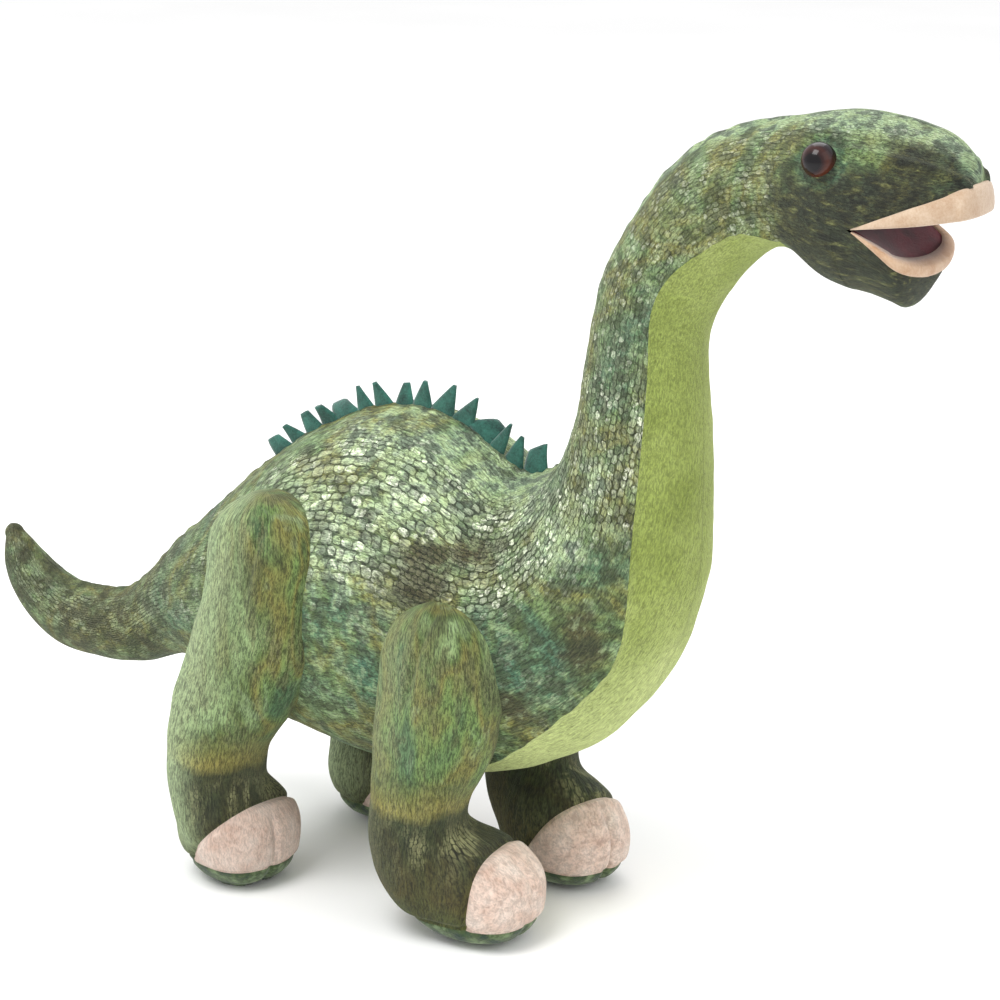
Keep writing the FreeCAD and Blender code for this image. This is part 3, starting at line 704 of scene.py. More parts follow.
# Coloured areas of the dye: x, z, half length, half height in mm. The pale area at x 54, z 172 is a painted
# highlight.
BROWN_AREAS = ((25, 143, 13, 11), (36, 150, 14, 5), (88, 124, 8, 13), (-60, 98, 14, 10),
               (60, 96, 12, 6))
TEAL_AREAS = ((-3, 126, 20, 9), (10, 100, 24, 16), (70, 108, 18, 16), (-35, 112, 16, 22),
              (-120, 96, 18, 14), (96, 150, 14, 12))
PALE_AND_HIGHLIGHT_AREAS = ((-22, 150, 34, 20), (18, 168, 26, 12), (54, 172, 16, 10), (76, 158, 12, 8), (-52, 146, 16, 14),
              (98, 184, 16, 10), (4, 182, 30, 8))


def area_sum(points, areas):
    """How far inside any of the areas each point is, with bent outlines."""
    bend = lumps(points, 16.0, 9) * 5
    total = np.zeros(points.shape[:-1])
    for x, z, long, high in areas:
        away = ((points[..., 0] + bend - x) / long) ** 2 + ((points[..., 2] + bend - z) / high) ** 2
        total = np.maximum(total, np.exp(-0.8 * away))
    return total


def look_values(theta, points):
    """Back-to-belly share, how clear the scale print is, and how dark the face is; and the eye rings."""
    share = np.abs(theta) / math.pi
    x = points[..., 0]
    z = points[..., 2]
    head = smooth(143, 165, x) * smooth(250, 262, z)
    trunk_print = smooth(0.10, 0.17, share) * smooth(0.47, 0.38, share) * smooth(-75, -45, x)
    brown = area_sum(points, BROWN_AREAS[:2])
    neck = smooth(150, 172, z) * smooth(70, 84, x)
    neck_print = smooth(0.10, 0.2, share) * (0.9 - 0.5 * smooth(205, 225, z))
    strength = np.maximum(trunk_print, brown) * (1 - neck) + neck * neck_print
    strength = np.maximum(strength, 0.25 + 0.3 * lumps(points, 22.0, 12))
    strength = np.maximum(strength, 0.75 * smooth(-100, -130, x) * smooth(0.08, 0.2, share))
    strength = strength * (1 - 0.6 * smooth(0.46, 0.58, share) * (1 - neck))
    strength = np.clip(strength, 0, 1) * (1 - 0.7 * head * smooth(0.2, 0.3, share))
    darkness = head * smooth(0.24, 0.40, share)
    snout = smooth(172, 206, x) * smooth(250, 262, z) * smooth(0.08, 0.26, share)
    darkness = np.maximum(darkness, 0.85 * snout)
    teal_ring = np.zeros_like(x)
    for centre, _ in EYES.values():
        away = np.linalg.norm(points - centre, axis=-1)
        teal_ring = np.maximum(teal_ring, smooth(13.5, 8.0, away))
    darkness = np.maximum(darkness * (1 - 0.6 * teal_ring), 0.55 * teal_ring)
    return np.stack((share, strength, darkness), -1), teal_ring


def zone_values(theta, points, teal_ring):
    """The brown, teal and pale areas of the dye; the pale ones also hold the painted highlight at the shoulder
    dip.
    """
    share = np.abs(theta) / math.pi
    x, z = points[..., 0], points[..., 2]
    brown = np.maximum(area_sum(points, BROWN_AREAS), 0.45 * smooth(-95, -130, x))
    teal = area_sum(points, TEAL_AREAS) * smooth(0.2, 0.35, share)
    # the pale areas hold the painted highlight at the shoulder dip as well as pale dye
    pale = area_sum(points, PALE_AND_HIGHLIGHT_AREAS) * (1 - smooth(0.44, 0.56, share))
    nape = smooth(215, 232, z) * smooth(0.22, 0.10, share)
    crown = smooth(150, 160, x) * smooth(198, 182, x) * smooth(250, 262, z) * smooth(0.24, 0.14, share)
    pale = np.maximum(pale, 0.8 * np.maximum(nape, crown))
    return np.stack((brown, np.maximum(teal, teal_ring), pale), -1)


CELL_LENGTH = 0.80     # the station table's cell size times this is a scale's length
CELL_LOW = 0.50        # a scale's height as a share of its length, on the trunk
NECK_LOW = 0.80        # and up the neck
SIDE_APART = 40        # keeps the patterns of the two sides apart
JAW_APART = 300        # and the pattern of the jaw apart from that of the head


def cell_values(rows, theta, points):
    """Coordinates of the printed scales: along the spine, and round from the middle of the flank."""
    radius = (rows.low * 0.5 + rows.wide * 0.5)[:, None]
    cell = rows.cell * CELL_LENGTH
    along = np.cumsum(np.gradient(rows.s) / cell)[:, None] + np.zeros_like(theta)
    low = CELL_LOW + (NECK_LOW - CELL_LOW) * smooth(150, 180, points[:, 0, 2])
    around = (np.abs(theta) - math.radians(80)) * radius / (cell * low)[:, None]
    return np.stack((along, around + SIDE_APART * np.sign(theta), np.zeros_like(theta)), -1)


class Skin:
    """A grid of skin vertices with normals and attributes, from which pieces are cut."""

    def __init__(self, rows, lime=True, lift=0.0):
        self.rows = rows
        self.theta = ring_angles(rows)
        plain = rows.points(self.theta)
        first = grid_normals(plain)
        x = rows.x
        ends = smooth(LIME_TAIL_X, LIME_TAIL_X + 10, x) * smooth(LIME_HEAD_X + 1, LIME_HEAD_X - 4, x)
        lime_rows = ends * float(lime)
        self.points = plain + first * (body_relief(rows, self.theta, plain, lime_rows) + lift)[..., None]
        self.normals = grid_normals(self.points)
        self.cells = cell_values(rows, self.theta, plain)
        self.look, teal_ring = look_values(self.theta, plain)
        self.zones = zone_values(self.theta, plain, teal_ring)
        self.rest = plain * MM
        self.columns = self.theta.shape[1]

    def piece(self, name, row_range, part, ends=(False, False)):
        """Cuts a piece out of the grid: rows, and 'side', 'front' or 'all' of the columns."""
        first, last = row_range
        columns = {"front": (SIDE_COLUMNS, SIDE_COLUMNS + 2 * FRONT_COLUMNS + 1),
                   "side": (-SIDE_COLUMNS, SIDE_COLUMNS + 1),
                   "all": (0, self.columns + 1)}[part]
        index = np.arange(*columns) % self.columns
        count = len(index)
        picked = (slice(first, last + 1), index)
        points = self.points[picked].reshape(-1, 3)
        rows = last - first
        faces = grid_faces(rows, count)
        if part == "all":   # the last column is the first one again
            last_column = (count - 1) + np.arange(rows + 1) * count
            remap = np.arange((rows + 1) * count)
            remap[last_column] = last_column - (count - 1)
            faces = remap[faces]
        bm = bmesh.new()
        data = {"normal_keep": self.normals, "cells": self.cells, "look": self.look, "zones": self.zones,
                "rest": self.rest}
        layers = {key: bm.verts.layers.float_vector.new(key) for key in data}
        values = {key: data[key][picked].reshape(-1, 3) for key in data}
        used = np.zeros(len(points), bool)
        used[faces.ravel()] = True
        verts = {}
        for k in np.nonzero(used)[0]:
            vert = bm.verts.new(points[k])
            for key, layer in layers.items():
                vert[layer] = Vector(values[key][k])
            verts[int(k)] = vert
        for face in faces:
            made = bm.faces.new([verts[int(k)] for k in face])
            made.smooth = True
        if ends[0]:
            bm.faces.new([verts[int(k)] for k in faces[:count - 1, 0]]).smooth = True
        if ends[1]:
            start = rows * count
            ring = [verts[int(start + k)] for k in range(count - 1)]
            bm.faces.new(list(reversed(ring))).smooth = True
        mesh = bpy.data.meshes.new(name)
        bmesh.ops.scale(bm, vec=(MM, MM, MM), verts=bm.verts)
        bm.to_mesh(mesh)
        bm.free()
        obj = bpy.data.objects.new(name, mesh)
        bpy.context.scene.collection.objects.link(obj)
        use_kept_normals(mesh)
        return obj


def nearest_row(rows, spine):
    """Index of the row nearest to that spine length."""
    return int(np.argmin(np.abs(rows.s - spine)))


SPINE_END = float(Rows(0, 1).knots[-1])
body_rows = Rows(0.0, SPINE_END, TAIL_CAP, SNOUT_CAP)
body = Skin(body_rows)
jaw_rows = Rows(spine_at_x(CHIN_X - 4), spine_at_x(JAW_END), 0.0, JAW_CAP)
jaw = Skin(jaw_rows, lime=False, lift=CHIN_LIFT)
jaw.cells[..., 0] += JAW_APART

SPLITS = {
    "tail": nearest_row(body_rows, spine_at_x(TAIL_SPLIT_X)),
    "chest": nearest_row(body_rows, float(body_rows.knots[CHEST_STATION])),
    "mid_neck": nearest_row(body_rows, float(body_rows.knots[NECK_STATION]) + 7),
    "arch": nearest_row(body_rows, float(body_rows.knots[ARCH_STATION])),
    "lime_tail": nearest_row(body_rows, spine_at_x(LIME_TAIL_X)),
    "throat": nearest_row(body_rows, spine_at_x(LIME_HEAD_X)),
    "end": len(body_rows.s) - 1,
}


def away(joint, degrees, reach):
    """A point in metres at that distance from a joint, in a direction in the plane of symmetry."""
    a = math.radians(degrees)
    centre = JOINT[joint]
    return Vector((centre[0] + reach * math.cos(a), 0, centre[2] + reach * math.sin(a))) * MM


def mouth_plane(slope):
    """Point and upward normal of the plane through the jaw hinge at that slope, in mm."""
    a = math.radians(slope)
    return tuple(JOINT["jaw_drop"]), (-math.sin(a), 0, math.cos(a))


# Slopes from the jaw hinge, in degrees: the edges of the upper lip and of the lower lip.
LIP_TOP, ROOF, FLOOR, LIP_UNDER = 22.0, 6.5, -9.5, -23.0
HINGE_X = float(JOINT["jaw_drop"][0])
JAW_HANG = 5.0         # mm that the soft lower jaw hangs at JAW_END; the lip ahead of that hangs further
HANG_LOW = 0.4         # the share of the hang that reaches the underside of the chin


def hang_drop(points):
    """How far each point of the lower jaw hangs down, in mm."""
    ahead = np.maximum((points[:, 0] - HINGE_X) / (JAW_END - HINGE_X), 0)
    lip = JOINT["jaw_drop"][2] + math.tan(math.radians(FLOOR)) * (points[:, 0] - HINGE_X)
    share = HANG_LOW + (1 - HANG_LOW) * smooth(-24, -4, points[:, 2] - lip)   # mm under the lip
    return JAW_HANG * ahead ** 1.3 * share


def hang(points):
    """The points of the lower jaw let down."""
    return points - np.stack((np.zeros(len(points)), np.zeros(len(points)), hang_drop(points)), -1)


tail = body.piece("tail_plush", (0, SPLITS["tail"]), "all", ends=(True, False))
finish_piece(tail, MATERIALS["scale"],
             ["tail_tip_stuffing", "tail_tip_panel_left", "tail_tip_panel_right"])
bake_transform(tail)

rump = body.piece("rump_plush", (SPLITS["tail"], SPLITS["lime_tail"]), "all")
finish_piece(rump, MATERIALS["scale"],
             ["tail_base_stuffing", "tail_base_panel_left", "tail_base_panel_right"])
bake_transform(rump)

flank = body.piece("flank_plush", (SPLITS["lime_tail"], SPLITS["chest"]), "side")
finish_piece(flank, MATERIALS["scale"],
             ["trunk_stuffing", "trunk_panel_left", "trunk_panel_right"])
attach(flank, "trunk")
belly = body.piece("belly_velour", (SPLITS["lime_tail"], SPLITS["chest"]), "front")
finish_piece(belly, MATERIALS["lime"], ["trunk_front_panel"])
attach(belly, "trunk")

NECK = (
    ("lower_neck", "chest", "mid_neck", "trunk", "neck_lower", "neck_pitch", 53, -20, 16, "neck_lower"),
    ("middle_neck", "mid_neck", "arch", "neck_lower", "neck_upper", "neck_lean", 90, -3, 14, None),
)
for name, first, last, low, high, joint, angle, before, after, nodes in NECK:
    for part, slot in (("side", "scale"), ("front", "lime")):
        piece = body.piece(f"{name}_{part}", (SPLITS[first], SPLITS[last]), part)
        covers = []
        if nodes and part == "side":
            covers = [nodes + "_stuffing", nodes + "_panel_left", nodes + "_panel_right"]
        elif nodes:
            covers = [nodes + "_front_panel"]
        finish_piece(piece, MATERIALS[slot], covers)
        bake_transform(piece)

upper = body.piece("upper_neck_front", (SPLITS["arch"], SPLITS["throat"]), "front")
finish_piece(upper, MATERIALS["lime"], ["neck_upper_front_panel"])
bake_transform(upper)


def split_plane(obj, point, normal):
    """Cuts a mesh's faces along a plane without removing any."""
    edit_mesh(obj, lambda bm: bmesh.ops.bisect_plane(
        bm, geom=list(bm.verts) + list(bm.edges) + list(bm.faces), dist=1e-7,
        plane_co=Vector(point) * MM, plane_no=normal))


def drop_faces(obj, gone):
    """Removes the faces whose middles, in mm, are gone."""
    edit_mesh(obj, lambda bm: bmesh.ops.delete(
        bm, geom=[f for f in bm.faces if gone(f.calc_center_median() / MM)], context="FACES"))


def slope_of(point):
    """Direction of a point from the jaw hinge, in degrees above straight ahead."""
    hinge = JOINT["jaw_drop"]
    return math.degrees(math.atan2(point[2] - hinge[2], point[0] - hinge[0]))


def kept_normals(mesh):
    """The normals stored at the face corners, one for each vertex."""
    corner = np.zeros(len(mesh.loops) * 3, np.float32)
    mesh.corner_normals.foreach_get("vector", corner)
    owner = np.zeros(len(mesh.loops), np.int32)
    mesh.loops.foreach_get("vertex_index", owner)
    kept = np.zeros((len(mesh.vertices), 3), np.float32)
    kept[owner] = corner.reshape(-1, 3)
    return kept


def cut_piece(skin, name, row_range, part, planes, gone):
    """A piece whose faces are first cut along planes, and then partly dropped, keeping its normals."""
    piece = skin.piece(name, row_range, part, ends=(False, True))
    set_attribute(piece, "normal_keep", "FLOAT_VECTOR", kept_normals(piece.data))
    for point, normal in planes:
        split_plane(piece, point, normal)
    drop_faces(piece, gone)
    use_kept_normals(piece.data)
    return piece


def gone_from_head(p):
    """Whether a face of the head, with its middle at p, lies in the mouth or under it."""
    if p.x < CHIN_X:
        return False
    if p.x < HINGE_X:
        return p.z < JOINT["jaw_drop"][2]
    return slope_of(p) < LIP_TOP


def gone_from_chin(p):
    """Whether a face of the jaw skin, with its middle at p, lies above the chin panel."""
    if p.x < CHIN_X - CHIN_LAP:
        return True
    if p.x < HINGE_X:
        return p.z > JOINT["jaw_drop"][2]
    return slope_of(p) > LIP_UNDER


SLOPE_STEP = 0.1       # mm ahead over which the slope of the hang is taken


def hang_chin(obj):
    """Lets the chin panel down, and tilts its stored normals to match."""
    points, normals = vertex_array(obj), kept_normals(obj.data)
    ahead = points + np.array((SLOPE_STEP, 0, 0))
    slope = (hang_drop(ahead) - hang_drop(points)) / SLOPE_STEP
    normals[:, 0] += slope * normals[:, 2]
    normals /= np.linalg.norm(normals, axis=1, keepdims=True)
    set_vertices(obj, hang(points))
    obj.data.normals_split_custom_set_from_vertices([tuple(v) for v in normals])


hinge_point = tuple(JOINT["jaw_drop"])
side_piece = body.piece("upper_neck_side", (SPLITS["arch"], SPLITS["throat"]), "side")
finish_piece(side_piece, MATERIALS["scale"],
             ["neck_upper_stuffing", "neck_upper_panel_left", "neck_upper_panel_right"])
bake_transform(side_piece)
head_piece = cut_piece(body, "head_plush", (SPLITS["throat"], SPLITS["end"]), "all", (
    ((CHIN_X, 0, 0), (1, 0, 0)), ((HINGE_X, 0, 0), (1, 0, 0)), (hinge_point, (0, 0, 1)),
    mouth_plane(LIP_TOP)), gone_from_head)
finish_piece(head_piece, MATERIALS["scale"],
             ["head_stuffing", "head_panel_left", "head_panel_right", "crown_gusset"])
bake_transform(head_piece)
chin_piece = cut_piece(jaw, "chin_plush", (0, len(jaw_rows.s) - 1), "all", (
    ((CHIN_X - CHIN_LAP, 0, 0), (1, 0, 0)), ((HINGE_X, 0, 0), (1, 0, 0)), (hinge_point, (0, 0, 1)),
    mouth_plane(LIP_UNDER)), gone_from_chin)
hang_chin(chin_piece)
finish_piece(chin_piece, MATERIALS["scale"], ["jaw_stuffing", "chin_panel"])
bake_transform(chin_piece)


# ---------------------------------------------------------------- lips, mouth lining


LIP_COLUMNS = 70       # columns of half a lip
LINING_COLUMNS = 40    # rows of the mouth lining
LIP_THICK = 3.0
LIP_BULGE = 1.3
LINING_WIDE = 0.94     # the lining reaches this share of the mouth's half width
LINING_THICK = 1.0


def mouth_curve(rows, slope, count):
    """Half of the line where the plane through the jaw hinge at that slope meets the head: from the mouth
    corner on the right to the middle in front."""
    tangent = math.tan(math.radians(slope))
    hx, hz = JOINT["jaw_drop"][0], JOINT["jaw_drop"][2]
    line = []
    for x, z, d, up, low, wide in zip(rows.x, rows.z, rows.dir, rows.up, rows.low, rows.wide):
        rise = hz - z + tangent * (x - hx)
        half = up if rise > 0 else low
        share = rise / max(half * (math.cos(d) + tangent * math.sin(d)), 1e-6)
        if abs(share) >= 1:
            if line:
                break
            continue
        px = x - half * share * math.sin(d)
        if px < hx:
            continue
        line.append((px, -wide * math.sqrt(1 - share * share), hz + tangent * (px - hx)))
    line = np.array(line)
    slip = line[-1] - line[-2]
    tip = line[-1] + slip * 0.5
    tip[1] = 0.0
    line = np.vstack((line, tip))
    length = np.append(0, np.cumsum(np.linalg.norm(np.diff(line, axis=0), axis=1)))
    at = np.linspace(0, length[-1], count)
    return np.stack([np.interp(at, length, line[:, k]) for k in range(3)], -1)


def full_curve(rows, slope):
    """That line from the mouth corner on the right round to the one on the left."""
    right = mouth_curve(rows, slope, LIP_COLUMNS)
    left = right[-2::-1] * np.array([1, -1, 1])
    return np.vstack((right, left))


def lip_strip(name, rows, slopes):
    """A felt strip between two planes through the jaw hinge, round the snout, as a closed form."""
    lines = np.array([full_curve(rows, slope) for slope in slopes])
    middle = lines.mean(0)
    outward = np.gradient(middle, axis=0)
    outward = np.stack((outward[:, 1], -outward[:, 0], np.zeros(len(outward))), -1)
    outward /= np.maximum(np.linalg.norm(outward, axis=1, keepdims=True), 1e-9)
    if outward[10, 1] > 0:
        outward *= -1
    share = np.linspace(0, 1, len(slopes))
    crown = np.sin(share * math.pi) ** 0.6
    grow = smooth(0, 14, np.linalg.norm(middle - middle[0], axis=1))
    grow = np.minimum(grow, grow[::-1])
    outer = lines + outward[None] * (LIP_BULGE * crown[:, None, None] + 0.3) * grow[None, :, None]
    inner = lines[::-1] - outward[None] * (LIP_THICK * (0.5 + 0.5 * grow[None, :, None]))
    loop = np.concatenate((outer, inner))
    rings, count = loop.shape[:2]
    obj = new_mesh(name, loop.transpose(1, 0, 2).reshape(-1, 3), loft_faces(count, rings))
    turn_faces_out(obj)
    set_rest(obj)
    return obj


upper_lip = lip_strip("upper_lip_felt", body_rows,
                      (ROOF, ROOF + 0.7, 8, 11, 14, 18, LIP_TOP - 0.7, LIP_TOP + 0.8))
finish_piece(upper_lip, MATERIALS["lip"], ["upper_lip"])
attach(upper_lip, "head")
lower_lip = lip_strip("lower_lip_felt", jaw_rows,
                      (LIP_UNDER - 0.8, LIP_UNDER + 0.7, -19.5, -17, -14, -11, FLOOR - 0.7, FLOOR))
set_vertices(lower_lip, hang(vertex_array(lower_lip)))
finish_piece(lower_lip, MATERIALS["low_lip"], ["lower_lip"])
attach(lower_lip, "jaw")


def lining(name, rows, slope, body_name, arch, nodes):
    """The felt lining of the palate or of the floor of the mouth."""
    right = mouth_curve(rows, slope, LINING_COLUMNS)
    right[:, 1] *= LINING_WIDE
    share = np.linspace(-1, 1, 25)
    middle = right.copy()
    middle[:, 1] = 0
    grid = middle[:, None, :] + (right - middle)[:, None, :] * share[None, :, None]
    depth = (1 - share ** 2)[None, :] * smooth(0, 10, np.abs(right[:, 1]))[:, None] * arch
    depth = depth * smooth(0, 12, right[:, 0] - HINGE_X)[:, None]
    grid[..., 2] += depth
    obj = new_mesh(name, grid.reshape(-1, 3), grid_faces(len(right) - 1, len(share)))
    set_rest(obj)
    if body_name == "jaw":
        set_vertices(obj, hang(vertex_array(obj)))
    thicken = obj.modifiers.new("felt", "SOLIDIFY")
    thicken.thickness = LINING_THICK * MM
    thicken.offset = 1.0 if arch > 0 else -1.0
    finish_piece(obj, MATERIALS["mouth"], nodes)
    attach(obj, body_name)
    return obj


lining("palate", body_rows, ROOF + 2, "head", 3.5, ["palate_lining"])
lining("mouth_floor", jaw_rows, FLOOR - 2, "jaw", -2.5, ["mouth_lining"])

# ---------------------------------------------------------------- eyes

EYE_RINGS, EYE_AROUND = 28, 64
EYE_COVER = math.radians(100)   # the dome reaches this far round from its middle
PAINTED_GLOW_TURN = math.radians(50)    # the painted amber glow of light through the eye lies this far round from straight ahead


def eye_dome(side, centre, radius):
    """A domed safety eye with values for its rings and for the lit lower side."""
    sign = 1 if side == "left" else -1
    points = [centre + np.array([0, sign * radius, 0])]
    iris, painted_light_side = [0.0], [0.0]
    for k in range(1, EYE_RINGS + 1):
        tilt = EYE_COVER * k / EYE_RINGS
        for j in range(EYE_AROUND):
            turn = 2 * math.pi * j / EYE_AROUND
            reach = radius * math.sin(tilt)
            points.append(centre + np.array([reach * math.cos(turn), sign * radius * math.cos(tilt),
                                             reach * math.sin(turn)]))
            iris.append(min(1.0, math.sin(min(tilt, math.pi / 2))))
            # painted light: share of the amber glow round the dome
            painted_light_side.append(max(0.0, math.cos(turn + PAINTED_GLOW_TURN)) ** 1.5)
    step_round = [(j, (j + 1) % EYE_AROUND) for j in range(EYE_AROUND)]
    faces = [(0, 1 + j, 1 + k) for j, k in step_round]
    for ring in range(EYE_RINGS - 1):
        a, b = 1 + ring * EYE_AROUND, 1 + (ring + 1) * EYE_AROUND
        faces += [(a + j, b + j, b + k, a + k) for j, k in step_round]
    faces.append(tuple(1 + (EYE_RINGS - 1) * EYE_AROUND + j for j in range(EYE_AROUND)))
    eye = new_mesh(f"eye_dome_{side}", points, faces)
    turn_faces_out(eye)
    set_attribute(eye, "iris", "FLOAT", iris)
    set_attribute(eye, "painted_light_side", "FLOAT", painted_light_side)
    return eye


for eye_side, (eye_centre, eye_radius) in EYES.items():
    dome = eye_dome(eye_side, eye_centre, eye_radius)
    finish_piece(dome, MATERIALS["eye"], ["eye_" + eye_side])
    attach(dome, "head")
    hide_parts("eye_washer_" + eye_side)

# ---------------------------------------------------------------- spikes

SPIKE_COUNT = 15
SPIKE_ROOT = 1.5       # mm that each spike is set into the skin
# One value for each spike, from the tail to the neck: height and length in mm, bluntness of the tip, sideways
# bend and lean along the back in degrees.
SPIKE_TALL = (6, 7, 8, 7.5, 7, 8.5, 9, 8, 9.5, 11.5, 12, 8.5, 12.5, 10.5, 8.5)
SPIKE_LONG = (10, 8, 9, 9, 12, 8, 9, 9, 9, 10.5, 10, 13, 7, 9, 12)
SPIKE_BLUNT = (0.55, 0.2, 0.4, 0.35, 0.6, 0.05, 0.1, 0.25, 0.1, 0.06, 0.04, 0.55, 0.06, 0.1, 0.7)
SPIKE_BEND = (20, -15, 10, -30, 62, 5, -8, 12, -6, 4, -14, 68, -10, 12, 30)
SPIKE_LEAN = (-25, -18, -10, -14, -30, -6, -8, 14, -4, 6, 16, 20, 4, -8, 24)


def felt_spike(base, along, out, tall, long, blunt, bend, lean):
    """One felt spike: a leaf with a rounded tip, bent sideways, of felt thickness."""
    levels, across = 9, 7
    front, back = [], []
    lean_shift = math.tan(math.radians(lean)) * tall
    for i in range(levels + 1):
        v = i / levels
        half = long / 2 * (blunt + (1 - blunt) * (1 - v) ** 0.9) + 0.35
        turn = math.radians(bend) * v
        reach = tall * (math.sin(turn) / math.radians(bend) if abs(bend) > 1 else v)
        drift = tall * ((1 - math.cos(turn)) / math.radians(bend) if abs(bend) > 1 else 0)
        side = Vector((0, 1, 0)) * math.cos(turn) - out * math.sin(turn)
        for j in range(across + 1):
            u = 2 * j / across - 1
            rim = 0.75 * math.sqrt(max(0.0, 1 - (abs(u) ** 4))) + 0.12
            middle = (base + along * (u * half + lean_shift * v) + out * (reach - SPIKE_ROOT)
                      + Vector((0, 1, 0)) * drift)
            front.append(middle + side * rim)
            back.append(middle - side * rim)
    count = across + 1
    total = len(front)
    faces = []
    for i in range(levels):
        for j in range(across):
            a = i * count + j
            faces.append((a, a + 1, a + count + 1, a + count))
            faces.append((total + a, total + a + count, total + a + count + 1, total + a + 1))
    rim_loop = list(range(count)) + [i * count + across for i in range(1, levels + 1)]
    rim_loop += [levels * count + j for j in range(across - 1, -1, -1)]
    rim_loop += [i * count for i in range(levels - 1, 0, -1)]
    for a, b in zip(rim_loop, rim_loop[1:] + rim_loop[:1]):
        faces.append((a, total + a, total + b, b))
    return front + back, faces


def spikes():
    """The row of felt spikes along the back seam, as one piece."""
    row_first, row_last = (nearest_row(body_rows, float(body_rows.knots[station]))
                           for station in (SPIKE_STATION, CHEST_STATION))
    top = body.points[row_first:row_last + 1, 0]
    length = np.append(0, np.cumsum(np.linalg.norm(np.diff(top, axis=0), axis=1)))
    low, high = (np.array(corner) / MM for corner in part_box("back_spikes"))
    start = np.interp(low[0] + 5, top[:, 0], length)
    end = np.interp(high[0] - 5, top[:, 0], length)
    points, faces = [], []
    for k in range(SPIKE_COUNT):
        at = start + (end - start) * k / (SPIKE_COUNT - 1)
        base = np.array([np.interp(at, length, top[:, i]) for i in range(3)])
        next_point = np.array([np.interp(at + 2, length, top[:, i]) for i in range(3)])
        along = Vector(next_point - base).normalized()
        out = Vector((-along.z, 0, along.x))
        more, these = felt_spike(Vector(base), along, out, SPIKE_TALL[k] + SPIKE_ROOT, SPIKE_LONG[k],
                                 SPIKE_BLUNT[k], SPIKE_BEND[k], SPIKE_LEAN[k])
        faces += [tuple(i + len(points) for i in f) for f in these]
        points += more
    obj = new_mesh("felt_spikes", [tuple(p) for p in points], faces)
    turn_faces_out(obj)
    set_rest(obj)
    finish_piece(obj, MATERIALS["spike"], ["back_spikes"])
    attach(obj, "trunk")


spikes()

# ---------------------------------------------------------------- legs

# Share of the hip height, half length, half width, share of the ankle's offset behind the hip.
LEG_LOOPS = {
    "front": ((0.86, 26, 19, 0.05), (0.68, 25, 19, 0.35), (0.5, 20, 19, 0.85), (0.34, 19.5, 19, 1.0),
              (0.2, 17.5, 19.5, 0.75), (0.09, 12, 15, 0.3)),
    "hind": ((0.88, 26, 19, 0.1), (0.72, 29, 19, 0.25), (0.56, 27, 19.5, 0.62), (0.42, 22, 19.5, 0.94),
             (0.28, 19.5, 19, 1.0), (0.16, 18, 19.5, 0.8), (0.07, 13, 16, 0.4)),
}
# How far behind the hip the ankle lies, and how far ahead of the ankle the middle of the foot.
LEG_BACK = {"front": 12, "hind": 25}
FOOT_AHEAD = {"front": 16, "hind": -1}
# For each leg in mm and degrees: how far back the stance is, the foot's place, the length of its front and its
# turn. For its toe cap: how much it slopes down, where it starts, how its seam leans, how deep its crease is.
LEGS = {
    "front_right": dict(shift=0, place=(0, 0), front=28, turn=2, fall=0.42, start=9, lean=0.15, crease=0.8),
    "front_left": dict(shift=12, place=(13, -13), front=29, turn=-20, fall=0.32, start=5, lean=0.7, crease=2.4),
    "hind_right": dict(shift=4, place=(-1, 0), front=21.5, turn=-10, fall=0.26, start=0, lean=0.95, crease=1.4),
    "hind_left": dict(shift=-14, place=(-5, 6), front=25, turn=-8, fall=0.26, start=10, lean=0.8, crease=1.8),
}
HIP_RADIUS = 26
HIP_WIDE = 19          # half width of the leg over the hip
LOOP_COUNT = 70
# Half length behind, half width and half height of a foot.
FOOT_HALF = (26, 21.5, 23)
FOOT_Z = 20
HEEL_TUCK = 0.6        # how much the underside of the heel slopes forward
SOLE_Z = 9.0           # the soles end and the toe caps start at this height
TOE_TOP = 42           # the toe caps lie below this height
LEG_VOXEL = 3.2
LEG_CELL = 3.6         # mm of leg for one unit of the pile pattern
HELD_WIDE, HELD_LOW = 34, 3   # the cloth is held inside this half width and under this height
CLOTH_FRAMES = 14
CLOTH_PRESSURE = 4.0
CLOTH_REACH = 2.0      # mm that a point of the cloth may move at most
LEG_ROUND = 24         # mean radius of a leg, for laying the pile round it
ANKLE, KNEE = 0.34, 0.42   # heights of the ankle and of the knee fold, as shares of the hip's height
TOE_PROUD = 0.9        # mm that the toe cap stands proud of the leg


def tube(loops, around=40):
    """Closed loft through horizontal ellipses (x, y, z, half length, half width)."""
    points = []
    for x, y, z, a, b in loops:
        for j in range(around):
            t = 2 * math.pi * j / around
            points.append((x + a * math.cos(t), y + b * math.sin(t), z))
    return points, loft_faces(len(loops), around)


def run_modifier(obj, kind, **settings):
    """Adds a modifier and applies it."""
    modifier = obj.modifiers.new("work", kind)
    for key, value in settings.items():
        setattr(modifier, key, value)
    with bpy.context.temp_override(object=obj, active_object=obj, selected_objects=[obj]):
        bpy.ops.object.modifier_apply(modifier=modifier.name)


